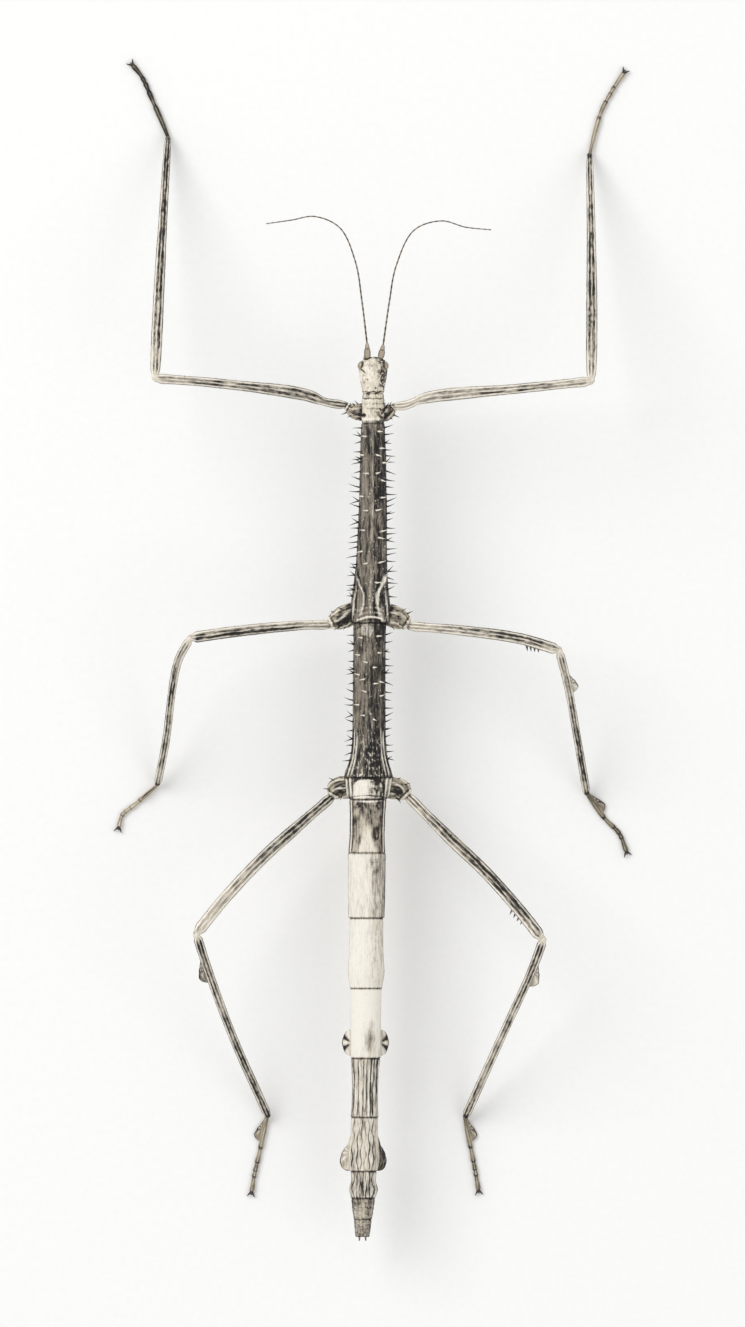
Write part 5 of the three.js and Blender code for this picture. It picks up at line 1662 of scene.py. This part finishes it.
def coxa_patches(name, points, seed):
    """A wrinkled barrel: a pale rib along its front, a finer one on top, dark lines beside
    them and painted shade in the hollow behind them and where it goes under the trunk,
    a collar where the femur starts, and spines on the outside."""
    radii, hand = COXA[pair_of(name)], LEGS[name].hand
    t = np.linspace(0, 1, 90)
    way, radius, spot = limb_spots(points, radii, t, 96)
    ahead = hand * spot.turn
    lines, knots = bark(spot, 0.35, 1.2, seed), bark(spot, 0.55, 0.5, seed + 1)
    sway = 0.25 * np.sin(4 * t + seed)[:, None]
    ribs = sum(size * bell(ahead, at + sway, 0.13) for at, size in (
        (1.05, 1.0), (0.2, 0.7), (-0.75, 0.8), (-1.5, 0.6), (2.0, 0.6), (-2.4, 0.6)))
    collar, rim = bell(t, 0.84, 0.03)[:, None], bell(t, 0.92, 0.035)[:, None]
    full = np.minimum(rise(t, 0, 0.1), fall(t, 0.97, 1))[:, None]
    lift = (0.13 * ribs + 0.06 * lines + 0.04 * knots - 0.16 * collar + 0.08 * rim - 0.05) * full
    outline = section(radius, radius, radius, spot.turn, LIMB_SQUARE)
    grid, lie = carried(way, outline, lift)
    # Painted shade: a black patch on top, as strong as each leg's value, and the root of the
    # coxa where it goes under the trunk.
    hollow = bell(ahead, -0.25, 0.5) * bell(t, 0.5, 0.3)[:, None] * COXA_TOP_SHADE[name]
    root_shade = fall(t, *COXA_ROOT_SHADE[pair_of(name)])[:, None]
    dark = (0.15 + hollow + 0.5 * bounded(-lines) + 0.4 * knots + 0.7 * collar
            + 0.7 * bell(ahead, 1.4, 0.14) + 0.35 * bell(ahead, 0.6, 0.12) - 0.5 * ribs
            + 0.8 * root_shade)
    pale = (0.75 * ribs + 0.45 * rim + 0.3 * rise(t, 0.86, 0.95)[:, None]) * (1 - collar)
    pale = pale * (1 - 0.7 * root_shade)
    wide = 0.97 * radii[0][1]
    root = oval(points[0] + 0.1 * way.forward[0], (wide, wide, COXA_ROOT), way.forward[0],
                square=LIMB_SQUARE, dark=0.3, pale=0.3)
    return [patch(grid, lie, dark, pale), root, coxa_spines(points, radii, hand, seed)]


print("spines on the six coxae:", COXA_SPINES * len(LEGS))

# %% [markdown]
# The femora of the middle and hind legs have teeth under their outer ends, and two small
# lobes hold the knee. Below the knee the middle and hind legs have a leaf-like flap, and two
# spurs stand at each ankle.

# %% Femora and tibiae
TIBIA_FLAP = {"mid": (0.21, 5.2, 1.7), "hind": (0.17, 6.2, 1.85)}  # share, length, reach
# How far round the femur its row of teeth stands, in degrees from the top.
FEMUR_TEETH = {"mid_left": 150, "mid_right": 104, "hind_left": 150, "hind_right": 104}
SpineRow = namedtuple("SpineRow", "count start pitch turn lean length spread thick")
FEMUR_ROW = SpineRow(14, 0.12, 0.062, 3, 0.4, 0.32, 0.1, 0.09)
TIBIA_ROW = SpineRow(12, 0.14, 0.066, 2, 0.5, 0.28, 0.08, 0.08)


def small_spines(points, radii, hand, seed, row):
    """A row of small spines on the two upper keels; each `turn`-th stands on the far one."""
    k = np.arange(row.count)
    share = row.start + row.pitch * k + 0.02 * uneven(k, seed)
    feet, out, way = beside_limb(points, share, hand * CORNER * np.where(k % row.turn, 1, -1),
                                 KEEL_FOOT * eased(radii, share))
    return spines(feet, out + row.lean * way.forward,
                  row.length + row.spread * uneven(k, seed + 1), row.thick, rows=5, columns=6,
                  dark=0.6)


def femur_patches(name, points, seed):
    """A keeled tube, two lobes at the knee, a row of small spines and, on the middle and hind
    legs, four teeth under the outer end."""
    pair, hand, tone = pair_of(name), LEGS[name].hand, TONES[name]
    parts = [limb(points, FEMUR[pair], tone.femur, hand * tone.femur_lean, seed, 0)]
    for side in (-1, 1):
        place, _, way = beside_limb(points, 0.985, side * MID, 0.42)
        parts.append(oval(place[0], (0.26, 0.62, 0.85), way.forward[0], dark=0.3, pale=0.5))
    if pair != "fore":
        k = np.arange(4)
        place = -hand * math.radians(FEMUR_TEETH[name])
        feet, out, way = beside_limb(points, 0.79 + 0.026 * k, place, 0.75)
        parts.append(spines(feet, out + 0.35 * way.forward, 1.15 - 0.12 * k, 0.24, dark=0.95))
    return [*parts, small_spines(points, FEMUR[pair], -hand, seed, FEMUR_ROW)]


def outward(name, way):
    """Flaps stand out sideways, but on the middle left leg they are turned up on edge."""
    return way.up[0] if name == "mid_left" else way.side[0] * LEGS[name].hand


def limb_flap(name, points, share, long, reach, offset, dark):
    """A flap whose foot line follows the limb for `long` millimetres round a share of it,
    and which stands out most near its lower end."""
    total = course(points, [1.0]).along[0]
    hand = LEGS[name].hand
    t = share + hand * np.linspace(-0.5, 0.5, 5) * long / total
    out = outward(name, course(points, [share]))
    line = course(points, t).middle + out * offset
    stands = (reach - offset) * (0.6 if name == "mid_left" else 1)
    return flap(line, out, stands, 0.3, LEAF if hand > 0 else mirrored(LEAF), 7, 0.2,
                dark, 0.1)


def tibia_patches(name, points, seed):
    """A keeled tube, rounded at knee and ankle, two spurs, a row of small spines and, on the
    middle and hind legs, a flap."""
    pair, hand = pair_of(name), LEGS[name].hand
    tone = TONES[name]
    parts = [limb(points, TIBIA[pair], tone.tibia, hand * tone.tibia_lean, seed, 1)]
    ends = course(points, [0.0, 1.0])
    parts.append(oval(ends.middle[0], KNEE_BALL, ends.forward[0], dark=0.15, pale=0.4))
    parts.append(oval(ends.middle[1], ANKLE_BALL, ends.forward[1], dark=0.75))
    if pair in TIBIA_FLAP:
        flap_tone = 0.55 if name == "hind_left" else 0.25
        parts.append(limb_flap(name, points, *TIBIA_FLAP[pair], 0.35, flap_tone))
    feet, out, way = beside_limb(points, 0.975, np.radians([140, -140]), 0.4)
    parts.append(spines(feet, out + 1.6 * way.forward, 0.75, 0.13, dark=0.7))
    return [*parts, small_spines(points, TIBIA[pair], hand, seed, TIBIA_ROW)]


print("small spines on a leg:", FEMUR_ROW.count + TIBIA_ROW.count)

# %% [markdown]
# A foot is a chain of five joints that stands flat on the floor, with a soft pad between two
# claws. On the middle and hind legs its first joint has a flap too.

# %% Feet, and all the legs
TOE_ENDS = (0.46, 0.64, 0.74, 0.81, 1)
TOE_RADIUS, TOE_WAIST = 0.47, 0.33
FOOT_FLAP = (0.22, 4.6, 1.5)
FOOT_TONE = {"fore_left": 1.1, "fore_right": 0.4, "mid_left": 0.15, "mid_right": 0.75,
             "hind_left": 0.5, "hind_right": 0.6}
CLAW_SPREAD = math.radians(34)


def on_floor(part):
    """A patch, flattened where it would go below the floor."""
    x, y, z = np.moveaxis(part.points, -1, 0)
    return part._replace(points=together(x, y, np.maximum(z, 0)))


def foot_patches(name, points):
    """Five joints in one chain, each wider at its far end, flat where they stand on the
    floor, with the soft pad at the tip."""
    t = np.linspace(0, 1, 230)
    k, u = within_joints(t, TOE_ENDS)
    last = k == len(TOE_ENDS) - 1
    swell = rise(u, 0.05, np.where(last, 0.8, 0.9)) - 0.75 * rise(u, 0.93, 1.0)
    radius = TOE_WAIST + (TOE_RADIUS - TOE_WAIST) * swell
    way = course(points, t)
    size = rounded(way, radius, 0.03)
    turn = round_turns(36)
    outline = section(size, size, size, turn, ROUND)
    ribs = np.cos(6 * turn)
    grid, lie = carried(way, outline, 0.03 * ribs * (size > 0.3))
    seam = np.maximum(bell(u, 0, 0.06), bell(u, 1, 0.05))[:, None]
    deep = FOOT_TONE[name]
    dark = deep * (0.75 - 0.25 * ribs) + 0.6 * seam
    pale = 0.9 * bounded(ribs) * (1 - seam) * bounded(1 - deep)
    tip, forward = way.middle[-1], way.forward[-1]
    pad = oval(tip + forward * 0.15 + (0, 0, 0.02), (0.3, 0.2, 0.34), forward, dark=0.7)
    parts = [on_floor(patch(grid, lie, dark, pale)), on_floor(pad)]
    if pair_of(name) != "fore":
        raised_line = points + (0, 0, 0.1)
        parts.append(limb_flap(name, raised_line, *FOOT_FLAP, 0.3, 0.8 * deep))
    return parts


def claw_patches(points):
    """Two hooks that spread from the tip, rise and come down to a point."""
    end = course(points, [0.985])
    forward, side = end.forward[0], end.side[0]
    hooks = []
    for hand in (-1, 1):
        aim = forward * math.cos(CLAW_SPREAD) + side * hand * math.sin(CLAW_SPREAD)
        aim = unit(aim * (1, 1, 0))
        path = [end.middle[0] * (1, 1, 0) + aim * reach + (0, 0, height)
                for reach, height in ((-0.15, 0.42), (0.4, 0.6), (0.85, 0.56), (1.22, 0.14))]
        t = np.linspace(0, 1, 40)
        radius = 0.2 * (1 - 0.85 * t ** 1.6)
        hooks.append(on_floor(tube(path, t, radius, 16, 1.15, dark=(0.3 + 0.6 * t)[:, None])))
    return hooks


for number, name in enumerate(LEGS):
    points, seed = limb_points(name), 70 + 10 * number
    for part, patches, coat in (
            ("coxa", coxa_patches(name, points["coxa"], seed), "coxa"),
            ("femur", femur_patches(name, points["femur"], seed + 2), "leg_shell"),
            ("tibia", tibia_patches(name, points["tibia"], seed + 4), "leg_shell"),
            ("tarsus", foot_patches(name, points["toes"]), "foot"),
            ("claws", claw_patches(points["toes"]), "claw")):
        slot = "thorax_shell" if part == "coxa" else coat
        make_piece(f"{part}_{name}", "shell", patches, slot, coat)
print("leg pieces:", 5 * len(LEGS))

# %% [markdown]
# ## The end of the tail
# Under the last rings lies the operculum, a keeled plate shaped like the bow of a boat, that
# covers where the eggs come out. The two cerci are short pegs on the last ring.

# %% Operculum and cerci


def operculum_patch():
    """A section that is flat above and deep below, carried under the tail, with a keel along
    its lowest line."""
    front, back = reach_of("operculum")
    s = np.linspace(front, back, 90)
    t = (s - front) / (back - front)
    wide = eased([(0, 0.7), (0.15, 1.45), (0.5, 1.4), (0.85, 0.9), (1, 0.25)], t)[:, None]
    deep = eased([(0, 0.25), (0.15, 0.62), (0.5, 0.6), (0.85, 0.4), (1, 0.12)], t)[:, None]
    drop = eased([(0, 1.6), (0.15, 1.72), (0.5, 1.7), (0.85, 1.25), (1, 1.0)], t)
    way = trunk_course(s)
    way = way._replace(middle=way.middle - drop[:, None] * UP)
    turn = round_turns(64)
    outline = section(wide, 0.3, deep, turn, LIMB_SQUARE)
    keel = bell(np.abs(turn), math.pi, 0.16)
    spot = spot_on(s, t, turn, outline.across, wide, wide)
    lines = bark(spot, 0.4, 2.0, 91)
    points, lie = carried(way, outline, 0.1 * keel + 0.03 * lines)
    return patch(points, lie, 0.3 + 0.3 * bounded(-lines), 0.3 * keel)


make_piece("operculum", "plate", [operculum_patch()], "abdomen_shell")
for hand, word in HANDS:
    root = axis(BODY_LENGTH - 0.25) + (hand * 0.52, 0, 0.1)
    path = [root, root + (0.01 * hand, -0.5, -0.03), root + (0.03 * hand, -0.95, -0.1)]
    t = np.linspace(0, 1, 30)
    peg = tube(path, t, 0.21 - 0.09 * t, 16, dark=(0.35 + 0.4 * t)[:, None])
    make_piece(f"cercus_{word}", "peg", [peg], "abdomen_shell")
pieces = [each for each in bpy.data.objects if each.type == "MESH" and "lie" in
          each.data.attributes]
faces = sum(len(each.data.loops) - 2 * len(each.data.polygons) for each in pieces)
print("pieces:", len(pieces), "triangles:", faces)

# %% [markdown]
# ## Floor, light and camera
# The insect stands on a plain, nearly white floor. A large soft lamp ahead of it and to its
# left models the shell's relief, a weak one fills from the other side, and a bright sky
# softens the shadows. The camera looks straight down from far away through a long lens, so
# that nothing leans outward.

# %% Stage
FLOOR_SIZE, TOOTH_PER_METRE = 12.0, 900.0
FLOOR_TINTS = (0.86, 0.86, 0.85, 1.0), (0.9, 0.9, 0.89, 1.0)
VIEW_TALL = 226.2 * MM  # what the render's height shows
VIEW_MIDDLE = (-0.21 * MM, -2.49 * MM)
BACK_HEIGHT = 13 * MM
CAMERA_AWAY = 4.0
SENSOR = 36.0  # of the render's longer side, in lens millimetres


def stage_floor():
    """A level square, pale, with a fine tooth like paper."""
    half = FLOOR_SIZE / 2
    mesh = bpy.data.meshes.new("floor")
    mesh.from_pydata([(-half, -half, 0), (half, -half, 0), (half, half, 0), (-half, half, 0)],
                     [], [(0, 1, 2, 3)])
    floor = bpy.data.objects.new("floor", mesh)
    bpy.context.scene.collection.objects.link(floor)
    coat, tree, shader = plain_coat("pale_paper")
    tooth = cloud(tree, added(tree, "TexCoord", {})["Object"], TOOTH_PER_METRE, 2.0)
    fed(tree, shader, {"Base Color": blended(tree, tooth, *FLOOR_TINTS), "Roughness": 0.9,
                       "Specular IOR Level": 0.1})
    mesh.materials.append(coat)


def lamp(name, place, size, power):
    """A round soft lamp that shines at the middle of the floor: tipped by the angle between
    upright and its place, then turned round to the side where it stands."""
    light = bpy.data.lights.new(name, "AREA")
    light.shape, light.size, light.energy = "DISK", size, power
    stand = bpy.data.objects.new(name, light)
    stand.location = place
    stand.rotation_euler = (math.acos(place[2] / math.hypot(*place)), 0,
                            math.atan2(place[1], place[0]) + math.pi / 2)
    bpy.context.scene.collection.objects.link(stand)


def sky(strength):
    """The same white light from every side."""
    world = bpy.data.worlds.new("studio")
    world.use_nodes = True
    back = world.node_tree.nodes["Background"]
    back.inputs["Color"].default_value = WHITE
    back.inputs["Strength"].default_value = strength
    bpy.context.scene.world = world


stage_floor()
lamp("key_lamp", (-1.0, 0.8, 1.3), 1.3, 16)
lamp("fill_lamp", (1.0, -0.5, 1.4), 1.2, 4)
sky(0.72)

view = bpy.data.cameras.new("view")
view.sensor_width = SENSOR
view.lens = SENSOR * CAMERA_AWAY / VIEW_TALL
view.clip_end = 3 * CAMERA_AWAY
camera = bpy.data.objects.new("view", view)
camera.location = (*VIEW_MIDDLE, BACK_HEIGHT + CAMERA_AWAY)
bpy.context.scene.collection.objects.link(camera)
bpy.context.scene.camera = camera
bpy.context.scene.view_settings.view_transform = "Standard"
print("lens:", round(view.lens), "mm")
